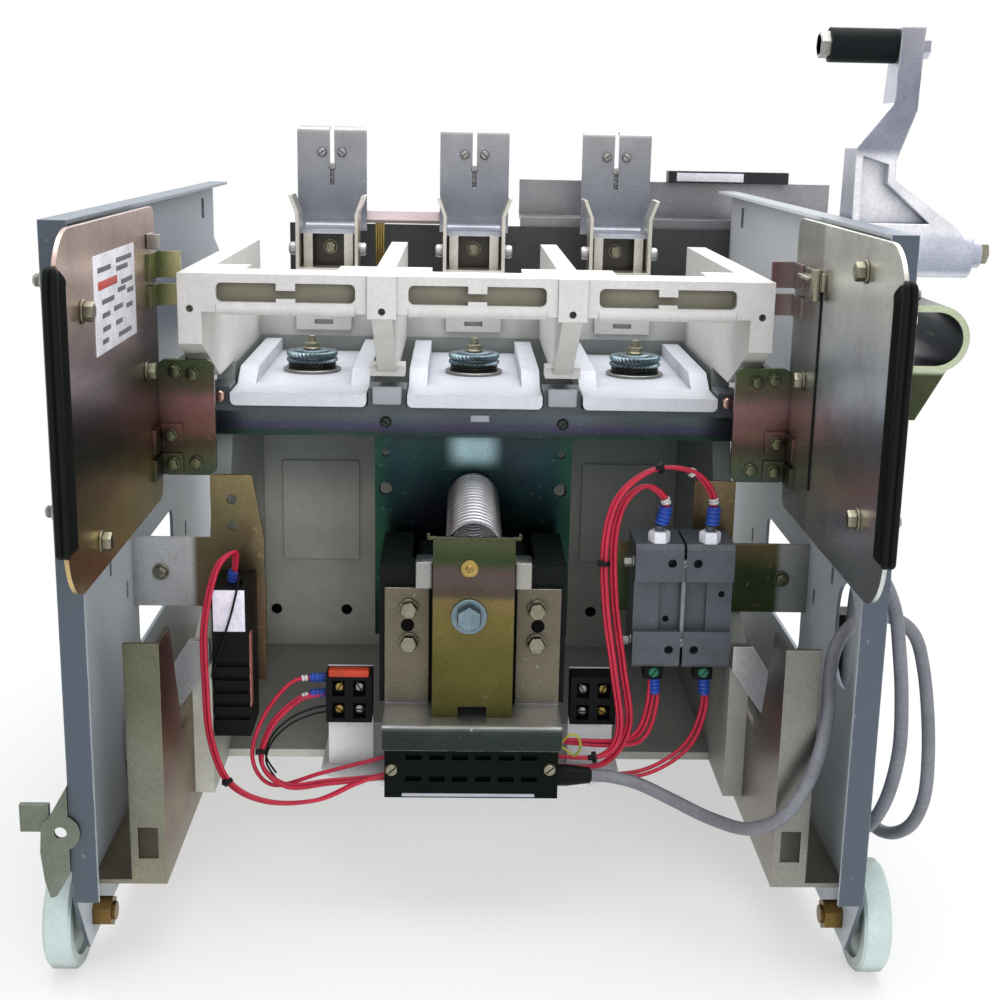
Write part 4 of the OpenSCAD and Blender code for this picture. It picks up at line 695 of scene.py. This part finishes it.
    def place(self):
        """Makes the mesh a piece of the model."""
        Shape.waiting.remove(self)
        bmesh.ops.recalc_face_normals(self.mesh, faces=self.mesh.faces)
        data = bpy.data.meshes.new(self.name)
        self.mesh.to_mesh(data)
        self.mesh.free()
        data.polygons.foreach_set("use_smooth", [True] * len(data.polygons))
        data.set_sharp_from_angle(angle=radians(self.angle))
        return finished(self.name, data, self.material, self.body)


def finished(name, data, material, body):
    data.materials.append(material)
    made = add_object(name, data)
    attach(made, body)
    return made


def smooth(points, steps=10):
    """Dense points on a Catmull-Rom curve, the same curve that the CAD tubes follow."""
    p = [Vector(q) for q in points]
    out = []
    for i in range(len(p) - 1):
        a, b, c, d = p[max(i - 1, 0)], p[i], p[i + 1], p[min(i + 2, len(p) - 1)]
        for k in range(steps):
            t = k / steps
            out.append(0.5 * (2 * b + (c - a) * t + (2 * a - 5 * b + 4 * c - d) * t * t
                              + (3 * b - a - 3 * c + d) * t ** 3))
    return out + [p[-1]]


def length_of(points):
    return sum((b - a).length for a, b in zip(points, points[1:]))


def curve_piece(name, points, d, material):
    """Round cord as a curve of one open spline."""
    data = bpy.data.curves.new(name, "CURVE")
    data.dimensions = "3D"
    data.bevel_depth = mm(d / 2)
    data.bevel_resolution = 4
    data.use_fill_caps = True
    line = data.splines.new("POLY")
    line.points.add(len(points) - 1)
    for spot, p in zip(line.points, points):
        spot.co = (*at(*p), 1.0)
    line.use_smooth = True
    return finished(name, data, material, "truck")


# Cords: routes repeated from the CAD source

CABLE = smooth([
    (84.7, 118, 90), (99, 118, 89), (118, 113, 86), (140, 98, 81), (162, 72, 80), (183, 42, 87), (203, 27, 105),
    (218, 27, 134), (228, 39, 163), (232, 56, 187), (238, 68, 205), (250, 77, 217), (267, 84, 221), (284, 89, 217),
    (298, 93, 204), (305, 92, 183), (307, 81, 156), (305, 65, 129), (302, 57, 103), (297, 64, 80), (289, 82, 65),
    (281, 100, 64), (275, 118, 79), (269, 126, 106), (266, 130, 139), (265, 132, 175), (265, 131, 208),
    (265, 125, 231), (266, 111, 245), (268, 92, 250), (270, 73, 245), (273, 59, 231), (275, 52, 210), (277, 45, 180),
    (277, 40, 144), (273, 45, 108), (268, 64, 79), (265, 92, 67), (264, 122, 75), (264, 146, 99), (264, 156, 128),
    (264, 158, 150)])
cable = curve_piece("control_cable", CABLE, 9, SHEATH)
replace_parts(cable, "cable")

ROUTES = {
    "outer_switch_wire": [(167, 160, 262.7), (166, 160, 284), (150, 154, 302), (122, 150, 304), (98, 148, 284),
        (90, 146, 250), (92, 142, 206), (99, 138, 160), (104, 134, 118), (92, 132, 99), (60.7, 132, 98)],
    "inner_switch_wire": [(131, 160, 262.7), (133, 160, 280), (118, 156, 291), (103, 155, 278), (97, 154, 250),
        (99, 149, 206), (106, 145, 160), (111, 141, 118), (94, 139, 90), (60.7, 139, 88)],
    "inner_return_wire": [(131, 165, 158.3), (132, 164, 130), (124, 158, 106), (106, 150, 102), (60.7, 148, 104)],
    "outer_return_wire": [(167, 165, 158.3), (168, 162, 125), (156, 156, 98), (128, 148, 82), (95, 146, 78),
        (60.7, 146, 80)],
    "relay_wire": [(-171, 165, 215.7), (-169, 158, 238), (-180, 144, 230), (-188, 136, 192), (-188, 134, 150),
        (-185, 131, 110), (-172, 124, 80), (-145, 118, 68), (-110, 116, 70), (-82, 118, 82), (-60.7, 118, 90)],
    "block_wire_low": [(-105.7, 170, 130), (-125, 164, 128), (-144, 152, 112), (-150, 141, 88), (-131, 130, 76),
        (-100, 128, 80), (-60.7, 128, 84)],
    "block_wire_high": [(-105.7, 172, 141), (-130, 167, 139), (-150, 153, 116), (-156, 141, 90), (-141, 137, 72),
        (-105, 137, 82), (-60.7, 138, 94)],
}
LINES = {name: smooth(route) for name, route in ROUTES.items()}


def beside(line, offset, ends=0.55):
    """A line that runs next to another, closing in on it at both ends."""
    total = length_of(line)
    out, gone = [], 0.0
    for i, p in enumerate(line):
        gone += (p - line[i - 1]).length if i else 0.0
        near = min(1.0, gone / 25, (total - gone) / 25)
        out.append(p + Vector(offset) * (ends + (1 - ends) * near))
    return out


for name, other, offset in (
        ("outer_switch_pair", "outer_switch_wire", (2.3, -2.1, 0.6)),
        ("inner_switch_pair", "inner_switch_wire", (2.4, -2.0, 0.5)),
        ("inner_return_pair", "inner_return_wire", (3.2, -1.4, -2.2)),
        ("inner_return_third", "inner_return_wire", (-3.4, -1.6, 1.4)),
        ("outer_return_pair", "outer_return_wire", (2.4, -2.2, -2.0)),
        ("relay_pair", "relay_wire", (2.6, -1.4, 1.2)),
        ("block_wire_third", "block_wire_low", (1.2, -2.9, -1.0))):
    LINES[name] = beside(LINES[other], offset)


def add_wire(name, line, d, material):
    wire = curve_piece(name, line, d, material)
    return wire


for name, line in LINES.items():
    wire = add_wire(name, line, 3, RED)
    if name == "outer_switch_wire":
        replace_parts(wire, "wires")
add_wire("earth_wire", smooth([
    (60.7, 124, 103), (64, 123, 113), (70, 122, 119), (75.5, 123, 116), (77, 125, 107), (73, 127, 101),
    (67, 128, 105), (60.7, 128, 109)]), 1.8, EARTH)
add_wire("relay_thin_wire", smooth([
    (-164, 160, 215.5), (-164, 152, 222), (-166, 147.5, 212), (-170, 147, 196), (-175, 146.5, 180),
    (-180, 146, 164), (-184.5, 149, 150), (-184.8, 158, 142)]), 1.6, TIE)
for row, z in enumerate((117, 112.5)):
    add_wire(f"block_thin_wire_{row}", smooth([
        (-105.5, 172, z + 2), (-116, 168, z + 1), (-130, 161, z - 3), (-142, 153, z - 12), (-147, 145, z - 25),
        (-139, 138, z - 36)]), 1.5, TIE)


def stretch(line, start, end, step=0.5):
    """Points on a line from one distance along it to another."""
    out, gone = [], 0.0
    for a, b in zip(line, line[1:]):
        span = (b - a).length
        while len(out) * step + start <= min(end, gone + span):
            out.append(a + (b - a) * ((len(out) * step + start - gone) / span))
        gone += span
    return out


def ribbed(shape, line, start, end, radius):
    """Sleeve with rings along a wire."""
    points = stretch(line, start, end)
    shape.tube(points, [radius - (0.7 if (i // 2) % 3 == 2 else 0) - (0.5 if i in (0, len(points) - 1) else 0)
                        for i in range(len(points))], 16)


def tie(shape, line, spot, radius):
    """Cable tie round a bundle, with its lock."""
    i = min(range(1, len(line) - 1), key=lambda k: (line[k] - Vector(spot)).length)
    axis = (line[i + 1] - line[i - 1]).normalized()
    middle = line[i] + Vector((1.1, -1.0, 0.3))
    shape.turned(middle, axis, [(radius - 0.3, -1.6), (radius, -1.3), (radius, 1.3), (radius - 0.3, 1.6)], 20)
    lock = middle + Vector((-0.6, -0.75, 0.3)).normalized() * radius
    shape.block(lock - Vector((1.8, 1.4, 1.8)), lock + Vector((1.8, 1.4, 1.8)), 0.5)


ties = Shape("cable_ties", TIE, "black_plastic")
blue_sleeves = Shape("blue_sleeves", BLUE, "blue_zinc")
clear_sleeves = Shape("clear_sleeves", CLEAR, "white_moulding")
for name, spot, radius in (
        ("outer_switch_wire", (128, 150, 304), 3.9),
        ("outer_switch_wire", (90, 146, 236), 4.6),
        ("relay_wire", (-172, 124, 80), 3.7),
        ("block_wire_low", (-150, 143, 94), 4.4),
        ("outer_switch_wire", (85, 132, 98.5), 4.2)):
    tie(ties, LINES[name], spot, radius)
for name in ("outer_switch_wire", "inner_switch_wire"):
    ribbed(blue_sleeves, beside(LINES[name], (1.1, -1.0, 0.3), 1.0), 0, 13, 5.0)
    ribbed(clear_sleeves, beside(LINES[name], (1.1, -1.0, 0.3), 1.0), 15, 19, 3.6)
ribbed(clear_sleeves, LINES["outer_switch_wire"], 44, 47.5, 3.4)
for name in ("inner_return_wire", "outer_return_wire"):
    ribbed(blue_sleeves, beside(LINES[name], (0.6, -0.6, 0), 1.0), 12, 24, 4.4)
for name in ("block_wire_low", "block_wire_high"):
    ribbed(blue_sleeves, LINES[name], 0, 12, 3.6)
    ribbed(clear_sleeves, LINES[name], 13.5, 18, 2.4)
ribbed(blue_sleeves, LINES["relay_wire"], 0, 9, 3.6)


# Opening spring, drawn at one length; the real one shortens a little as the armature pulls in

def coil(radius, wire, start, end, turns, low, high):
    """Points of a coil along y, its axis at low in front and at high behind."""
    points, steps = [], 28
    total = int(turns * steps)
    for i in range(total + 1):
        t = i / total
        a = 2 * pi * turns * t
        y = start + wire / 2 + (end - start - wire) * t
        points.append((radius * cos(a), y, low + (high - low) * t + radius * sin(a)))
    return points


turns = coil(radius=17.6, wire=4, start=123, end=258, turns=17, low=254, high=257.5)
spring = Shape("spring_coil", SPRING, "spring_steel").tube(turns, 2, 12).place()
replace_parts(spring, "opening_spring")
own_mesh(spring)

# Adjusters: washer, spring pack, two serrated discs and a stud on each pole
ADJUSTER_Y, ADJUSTER_Z = 342, 339.5
TEETH, TOOTH, DISC_R = 36, 1.6, 20.5


def serrated(shape, spot, low, high, slant):
    """Disc with slanted teeth round its rim."""
    x, y, z = spot
    rings = []
    for h, inset, turn in ((low, 0.8, 0), (low + 0.7, 0, 0), (high - 0.7, 0, slant), (high, 1.0, slant)):
        ring = []
        for i in range(2 * TEETH):
            a = pi * i / TEETH + turn
            r = DISC_R - inset - (i % 2) * TOOTH
            ring.append((x + r * cos(a), y + r * sin(a), z + h))
        rings.append(ring)
    shape.loft(rings)


packs = Shape("spring_packs", DARKBOLT, "spring_steel", "rocker")
discs = Shape("serrated_discs", BLUED, "blue_zinc", "rocker")
studs = Shape("adjuster_studs", BOLT, "bright_zinc", "rocker")
seats = Shape("pack_washers", ZINC, "bright_zinc", "rocker")
for pole in POLES:
    spot = (pole, ADJUSTER_Y, ADJUSTER_Z)
    seats.turned(spot, Z, [(22.4, 0), (23, 0.5), (23, 2.0), (22.4, 2.5)], 48)
    packs.turned(spot, Z, [(16.5, 2.5)] + [(r, 2.5 + 0.5 * i) for i, r in enumerate(
        (17.2, 19, 19.3, 17.4, 17.2, 19, 19.3, 17.4, 17.2, 17.2))] + [(16.5, 7.5)], 48)
    serrated(discs, spot, 7.5, 10.5, 0.10)
    discs.turned(spot, Z, [(17.5, 10.4), (17.5, 12.1)], 40)
    serrated(discs, spot, 12, 16, -0.13)
    discs.turned(spot, Z, [(13.5, 16), (13.5, 16.7), (12.8, 17.1)], 40)
    studs.turned(spot, Z, [(7, 16.5), (7, 18.2), (6.4, 18.8)], 24)
    studs.hex_head(spot, Z, 11, 4.2, 0.4, 18.5)
    studs.turned(spot, Z, [(3.6, 22), (3.6, 26.5), (3.0, 28.2)], 20)
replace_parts(discs.place(), "adjusters")

# Crossbar: pads between the carriers, screws in the band under it, a bare tag and the shaft pins' ends
pads = Shape("bar_pads", PADGREY, "white_moulding", "rocker")
band_screws = Shape("band_screws", DARKBOLT, "dark_bar", "rocker")
pins = Shape("shaft_pins", COPPER, "bright_zinc", "rocker")
for side in SIDES:
    pads.block((65 * side - 11, 234.5, 331), (65 * side + 11, 238.5, 345), 2.0)
    band_screws.screw((66 * side, BAR_FACE, 318), -Y, 8.5, 2.6, 0.6 * side)
    pins.turned((188 * side, BAR_FACE, 336), -Y, [(4.4, -1), (4.4, 5), (3.8, 6), (2.0, 6.4)])
Shape("bar_tag", PADGREY, "white_moulding", "rocker").block((-3, 237.3, 319), (11, 238.2, 324), 0.3)

# Bolts and nuts of the frame
panel_bolts = Shape("panel_bolts", BOLT)
bracket_bolts = Shape("bracket_bolts", OLIVE, "yellow_zinc")
for y, z in ((-26, 429), (138, 370), (-7, 292)):
    panel_bolts.bolt((-PANEL_FACE, y, z), X, 10, 5, 13.5, 0.2 + y)
for y, z in ((-1, 456), (-23, 315), (138, 370)):
    panel_bolts.bolt((PANEL_FACE, y, z), -X, 10, 5, 13.5, 0.5 + y)
for side in SIDES:
    for x, z in ((209, 364), (197, 362), (196, 299), (212, 298.5), (213, 319)):
        front = 173.5 if z in (298.5, 319) else 176
        bracket_bolts.bolt((x * side, front, z), -Y, 7.5, 3.2, 9.5, 0.3 * x)
for shape, x in ((bracket_bolts, 227.5), (panel_bolts, -227.5)):
    shape.bolt((x, 195, 213), -Y, 8.5, 3.6, 12, 0.4)

spacer_nuts = Shape("spacer_nuts", ZINC)
for y, z in ((30, 440), (150, 367), (30, 300)):
    spacer_nuts.nut((-PLATE_FACE, y, z), -X, 0.1 * y)
    spacer_nuts.nut((PLATE_FACE, y, z), X, 0.1 * y + 0.4)

# Hardware on the panels' inner faces: a bent clip, a hinge leaf and the seam down the right panel
clip = Shape("left_corner_clip", ZINC)
clip.block((-220.9, 152, 449), (-211, 153.6, 459), 0.6).block((-220.9, 152, 449), (-219.3, 172, 459), 0.6)
hinge = Shape("hinge_leaf", BOLT)
hinge.block((217.6, 92, 434), (220.9, 142, 446), 0.8).block((211, 104, 440), (218, 136, 442.4), 0.6)
hinge.turned((215.5, 98, 428), Z, [(3.2, 0), (3.6, 0.6), (3.6, 19), (3.0, 20)])
Shape("panel_seam", RUBBER, "trim_rubber").block((219.9, 100.5, 302), (221, 104.5, 434), 0.4)

# Rubber trims: two lobes along the front edge and a lip behind them, on the route that the CAD bands follow
TRIM_X, TRIM_Y, TRIM_R = 222, -46, 31
SECTION = [(40.2, 0), (41.5, 0.9), (42, 2.0), (41.5, 3.3), (39.8, 4.1), (38, 3.8), (36.8, 2.5), (34.5, 2.1), (29, 2.1),
           (27.4, 2.6), (26.2, 3.9), (24.4, 4.5), (22.6, 4.1), (21.6, 2.8)]
SECTION += [(r, -s) for r, s in reversed(SECTION[1:])]
ROUTE = [(442, 152 + 2.8 * i) for i in range(11)] + [(442 - 13.5 * i, 180) for i in range(1, 11)]
ROUTE += [(307, 180 + 2 * i) for i in range(1, 5)]
trims = Shape("rubber_trims", RUBBER, "trim_rubber", angle=50)
for side in SIDES:
    rings = []
    for i, (z, turn) in enumerate(ROUTE):
        a = radians(turn)
        end = min(i, len(ROUTE) - 1 - i)
        thin = (0.4, 0.72, 0.92)[end] if end < 3 else 1.0
        ring = [(TRIM_R + (r - TRIM_R) * thin, s * thin) for r, s in SECTION]
        rings.append([((TRIM_X + s) * side, TRIM_Y + r * cos(a), z + r * sin(a)) for r, s in ring])
    trims.loft(rings)
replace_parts(trims.place(), "edge_trims")

# Backs of the moulding's three windows, darker than the moulding: painted shade
backs = Shape("window_backs", SHADE, "cream_moulding")
for pole in POLES:
    backs.block((pole - 49, 172, 411), (pole + 49, 173.5, 430), 0.3)

# Magnet: ear bolts, dark discs as painted shade in holes, side blocks, the spring bracket's bolt, mark and wings, cover
# screws and strip
ear_bolts = Shape("ear_bolts", BOLT)
ear_gaps = Shape("ear_gaps", HOLE, "core_black")
side_blocks = Shape("side_blocks", ZINC)
wings = Shape("bracket_wings", BRACKET, "yellow_zinc")
for side in SIDES:
    for z in (178, 203):
        ear_bolts.bolt((45 * side, EAR_FACE, z), -Y, 11, 5.5, 14, 0.3 * z)
    ear_gaps.disc((46 * side, EAR_FACE, 190.5), -Y, 9.5)
    side_blocks.block((28 * side, 124, 224), (40 * side, 145, 243), 1.2)
    wings.block((26 * side, 119.8, 260), (32 * side, 123.2, 262.3), 0.7)
    wings.block((30 * side, 119.8, 260.4), (32.4 * side, 123.2, 264.6), 0.9)
Shape("bracket_bolt", BLUED, "blue_zinc").bolt((-3, BRACKET_FACE, 206), -Y, 16, 6.5, 25, 0.5)
rivet = Shape("bracket_rivet", BRASS, "yellow_zinc")
rivet.turned((-3, BRACKET_FACE, 240), -Y, [(6.2, -0.3), (6.2, 0.5), (5.2, 1.2), (2.6, 1.5)])
rivet.screw((-3, BRACKET_FACE - 1.3, 240), -Y, 5, 1.2, 0.7)
cover_screws = Shape("cover_screws", BOLT)
for x, z in ((-55, 101), (54, 102)):
    cover_screws.screw((x, 101, z), -Y, 9.5, 3.2, 0.7)
Shape("cover_strip", PADGREY, "white_moulding").block((-48, 100.2, 81), (44, 101.3, 83.4), 0.4)

# Auxiliary switches: side screws, the rib between them, terminal nuts, feet and dark discs as painted shade in the
# adjusting holes
side_screws = Shape("switch_side_screws", ZINC)
ribs = Shape("switch_rib", RIB, "grey_plastic")
nuts = Shape("terminal_nuts", WHITE, "white_moulding")
feet = Shape("terminal_feet", BLACK, "black_plastic")
foot_screws = Shape("foot_screws", GREEN, "blue_zinc")
pits = Shape("switch_pits", HOLE, "core_black")
for z in (177, 235):
    side_screws.bolt((114, 160, z), -X, 6.5, 6, 9, 0.2 * z)
    ribs.screw((149, 152.5, z + 1), -Y, 6.5, 2.4, 0.8)
ribs.block((147.4, 152, 173), (150.6, 157, 238), 1.2)
for x in (131, 167):
    nuts.hex_head((x, 160, 250), Z, 13.5, 8.2, 0.5)
    nuts.washer((x, 160, 250), Z, 14.5, 1.5)
    feet.block((x - 7, 158, 147), (x + 7, 173, 159.3), 1.0)
    foot_screws.screw((x, 158, 153), -Y, 8, 2.6, 0.9)
for x, y, z in ((176.5, 155, 213), (138, 159, 193)):
    pits.disc((x, y, z), -Y, 4.6)

# Relay: blank label and the russet side
Shape("relay_blank_label", LILAC, "white_moulding").block((-183, 149.3, 183), (-160.5, 150.2, 213.5), 0.3)
Shape("relay_side_strip", RUSSET, "pink_board").block((-158.4, 151, 126), (-157.2, 161, 181), 0.4)

# Terminal blocks: screws in their wells and one orange marker strip
brass_screws = Shape("block_brass_screws", BRASS, "yellow_zinc")
silver_screws = Shape("block_silver_screws", ZINC)
for side in SIDES:
    for z in (120, 137):
        brass_screws.screw((95.5 * side, 166.5, z), -Y, 8, 4, 0.1 * z)
        silver_screws.screw((81 * side, 166.5, z), -Y, 8, 4, 0.13 * z)
Shape("marker_strip", ORANGE, "red_wire").block((-103, 158.6, 146), (-74, 167, 151.5), 1.0)

# Power contacts: hardware in the clips and their slots, jaw bolts and the laminated strip under the tie bar
clip_screws = Shape("clip_screws", ZINC)
jaw_bolts = Shape("jaw_bolts", STRUT)
cavity_bolts = Shape("cavity_bolts", BOLT)
leaves = Shape("laminated_strip", BRASS, "yellow_zinc")
slot_strips = Shape("slot_strips", CLIP)
for pole in POLES:
    for side in SIDES:
        clip_screws.screw((pole + 9 * side, 547, 507), -Y, 8.5, 3.2, 2.6 * side)
        jaw_bolts.turned((pole + 27.5 * side, 496, 424), X * side,
                         [(5.6, -0.2), (5.8, 0.4), (5.8, 4.6), (4.9, 6.4), (2.6, 7.2)])
    cavity_bolts.bolt((pole, 525, 424), -Y, 10, 5, 14, 0.3)
    slot_strips.block((pole - 4, 549.6, 468), (pole + 4, 551, 497), 0.3)
    clip_screws.block((pole - 3, 546, 492), (pole + 3, 549.8, 497.5), 0.7)
    clip_screws.screw((pole, 549.8, 484), -Y, 5.5, 2.4, 0.9)
for i in range(4):
    leaves.block((-91 + 2.2 * i, 551.5, 404), (-89.2 + 2.2 * i, 558.5, 444.6), 0.4)

# Handle: nuts at the hub's end and on the grip's pin
Shape("hub_nut", BOLT).hex_head((351.5, 200, 453), X, 14, 7, 0.2)
Shape("grip_nut", ZINC, "bright_zinc", "lever").hex_head((237, 200, 591), -X, 16, 7, 0.2)

# Rear duct's blank strip, and dark discs as painted shade in the base moulding's holes
Shape("duct_strip", PAPER, "white_moulding").block((197, 624.3, 484.5), (262, 625.3, 492.5), 0.3)
wall_back = (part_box("pole_moulding")[1].y - FRONT) * 1000
shade_discs = Shape("hole_shade_discs", HOLE, "core_black")
for x in (-176, -112, 112, 176):
    shade_discs.turned((x, wall_back - 12, 100), Y, [(4.9, 0), (4.9, 10), (3.8, 11)])

# Rating plate left bare: a white sheet with plain bars and one red strip
plate_x = -220.4
Shape("rating_plate", PAPER, "white_moulding").block((plate_x - 0.4, 3, 399), (plate_x + 0.1, 112, 456.5), 0.15)
Shape("rating_strip", REDINK, "red_wire").block((plate_x, 12, 436), (plate_x + 0.2, 62, 441), 0.08)
bars = Shape("rating_bars", INK, "black_plastic")
for y0, y1, z in (
        (12, 46, 446), (60, 104, 448), (60, 92, 443), (72, 104, 434), (20, 52, 427), (62, 84, 430), (88, 106, 427),
        (20, 40, 419), (50, 74, 420), (84, 102, 418), (20, 40, 411), (54, 72, 411), (18, 34, 404), (60, 96, 403)):
    bars.block((plate_x, y0, z), (plate_x + 0.2, y1, z + 3.0), 0.08)

for shape in list(Shape.waiting):
    shape.place()


# Floor, world and lights

def white_to_sight(nodes):
    """1 for rays from the camera, mirrors and glass, and 0 for the light that falls on the object."""
    path = nodes.node("ShaderNodeLightPath").outputs
    seen = path["Is Camera Ray"]
    for name in ("Is Glossy Ray", "Is Transmission Ray"):
        seen = nodes.math("MAXIMUM", seen, path[name])
    return seen


def make_stage(reach=6.0):
    """Pale floor that keeps the shadow near the object and runs into the white background away from it."""
    data = bpy.data.meshes.new("floor")
    corners = [(-reach, -reach, 0), (reach, -reach, 0), (reach, reach, 0), (-reach, reach, 0)]
    data.from_pydata(corners, [], [(0, 1, 2, 3)])
    floor = add_object("floor", data)
    material = bpy.data.materials.new("floor")
    material.use_nodes = True
    nodes = Nodes(material.node_tree)
    shader = nodes.tree.nodes["Principled BSDF"]
    shader.inputs["Base Color"].default_value = (0.92, 0.92, 0.92, 1)
    shader.inputs["Roughness"].default_value = 0.9
    shader.inputs["Specular IOR Level"].default_value = 0.1
    away = nodes.node("ShaderNodeVectorMath", "LENGTH")
    nodes.feed(away.inputs[0], nodes.node("ShaderNodeTexCoord").outputs["Object"])
    share = nodes.times(nodes.fit(away.outputs["Value"], 0.3, 0.85, 0.5, 1.0), white_to_sight(nodes))
    mix = nodes.node("ShaderNodeMixShader")
    for i, value in enumerate((share, shader.outputs[0], nodes.node("ShaderNodeEmission").outputs[0])):
        nodes.feed(mix.inputs[i], value)
    nodes.feed(nodes.tree.nodes["Material Output"].inputs["Surface"], mix.outputs[0])
    data.materials.append(material)


def make_world(fill=0.62):
    """White to sight, and a softer fill on the object."""
    world = bpy.data.worlds.new("studio")
    bpy.context.scene.world = world
    world.use_nodes = True
    nodes = Nodes(world.node_tree)
    background = nodes.tree.nodes["Background"]
    background.inputs["Color"].default_value = (1, 1, 1, 1)
    nodes.feed(background.inputs["Strength"], nodes.fit(white_to_sight(nodes), 0, 1, fill, 1, "LINEAR"))


def area_light(name, spot, target, size, power, mirrored=True):
    """Soft lamp; one that is not mirrored lights a surface without a glare in metal."""
    data = bpy.data.lights.new(name, "AREA")
    data.shape = "RECTANGLE"
    data.size, data.size_y = size
    data.energy = power
    light = add_object(name, data)
    light.visible_glossy = mirrored
    light.location = spot
    light.rotation_euler = (Vector(target) - Vector(spot)).to_track_quat("-Z", "Y").to_euler()


make_stage()
make_world()
area_light("overhead", (0.1, 0.1, 2.2), (0, 0, 0.3), (2.2, 2.0), 32)
area_light("front", (0.35, -2.0, 0.8), (-0.1, 0.1, 0.25), (1.3, 0.9), 18, mirrored=False)
area_light("back", (0.6, 1.8, 1.4), (0, 0, 0.4), (1.8, 1.0), 12)
bpy.context.scene.view_settings.view_transform = "Standard"
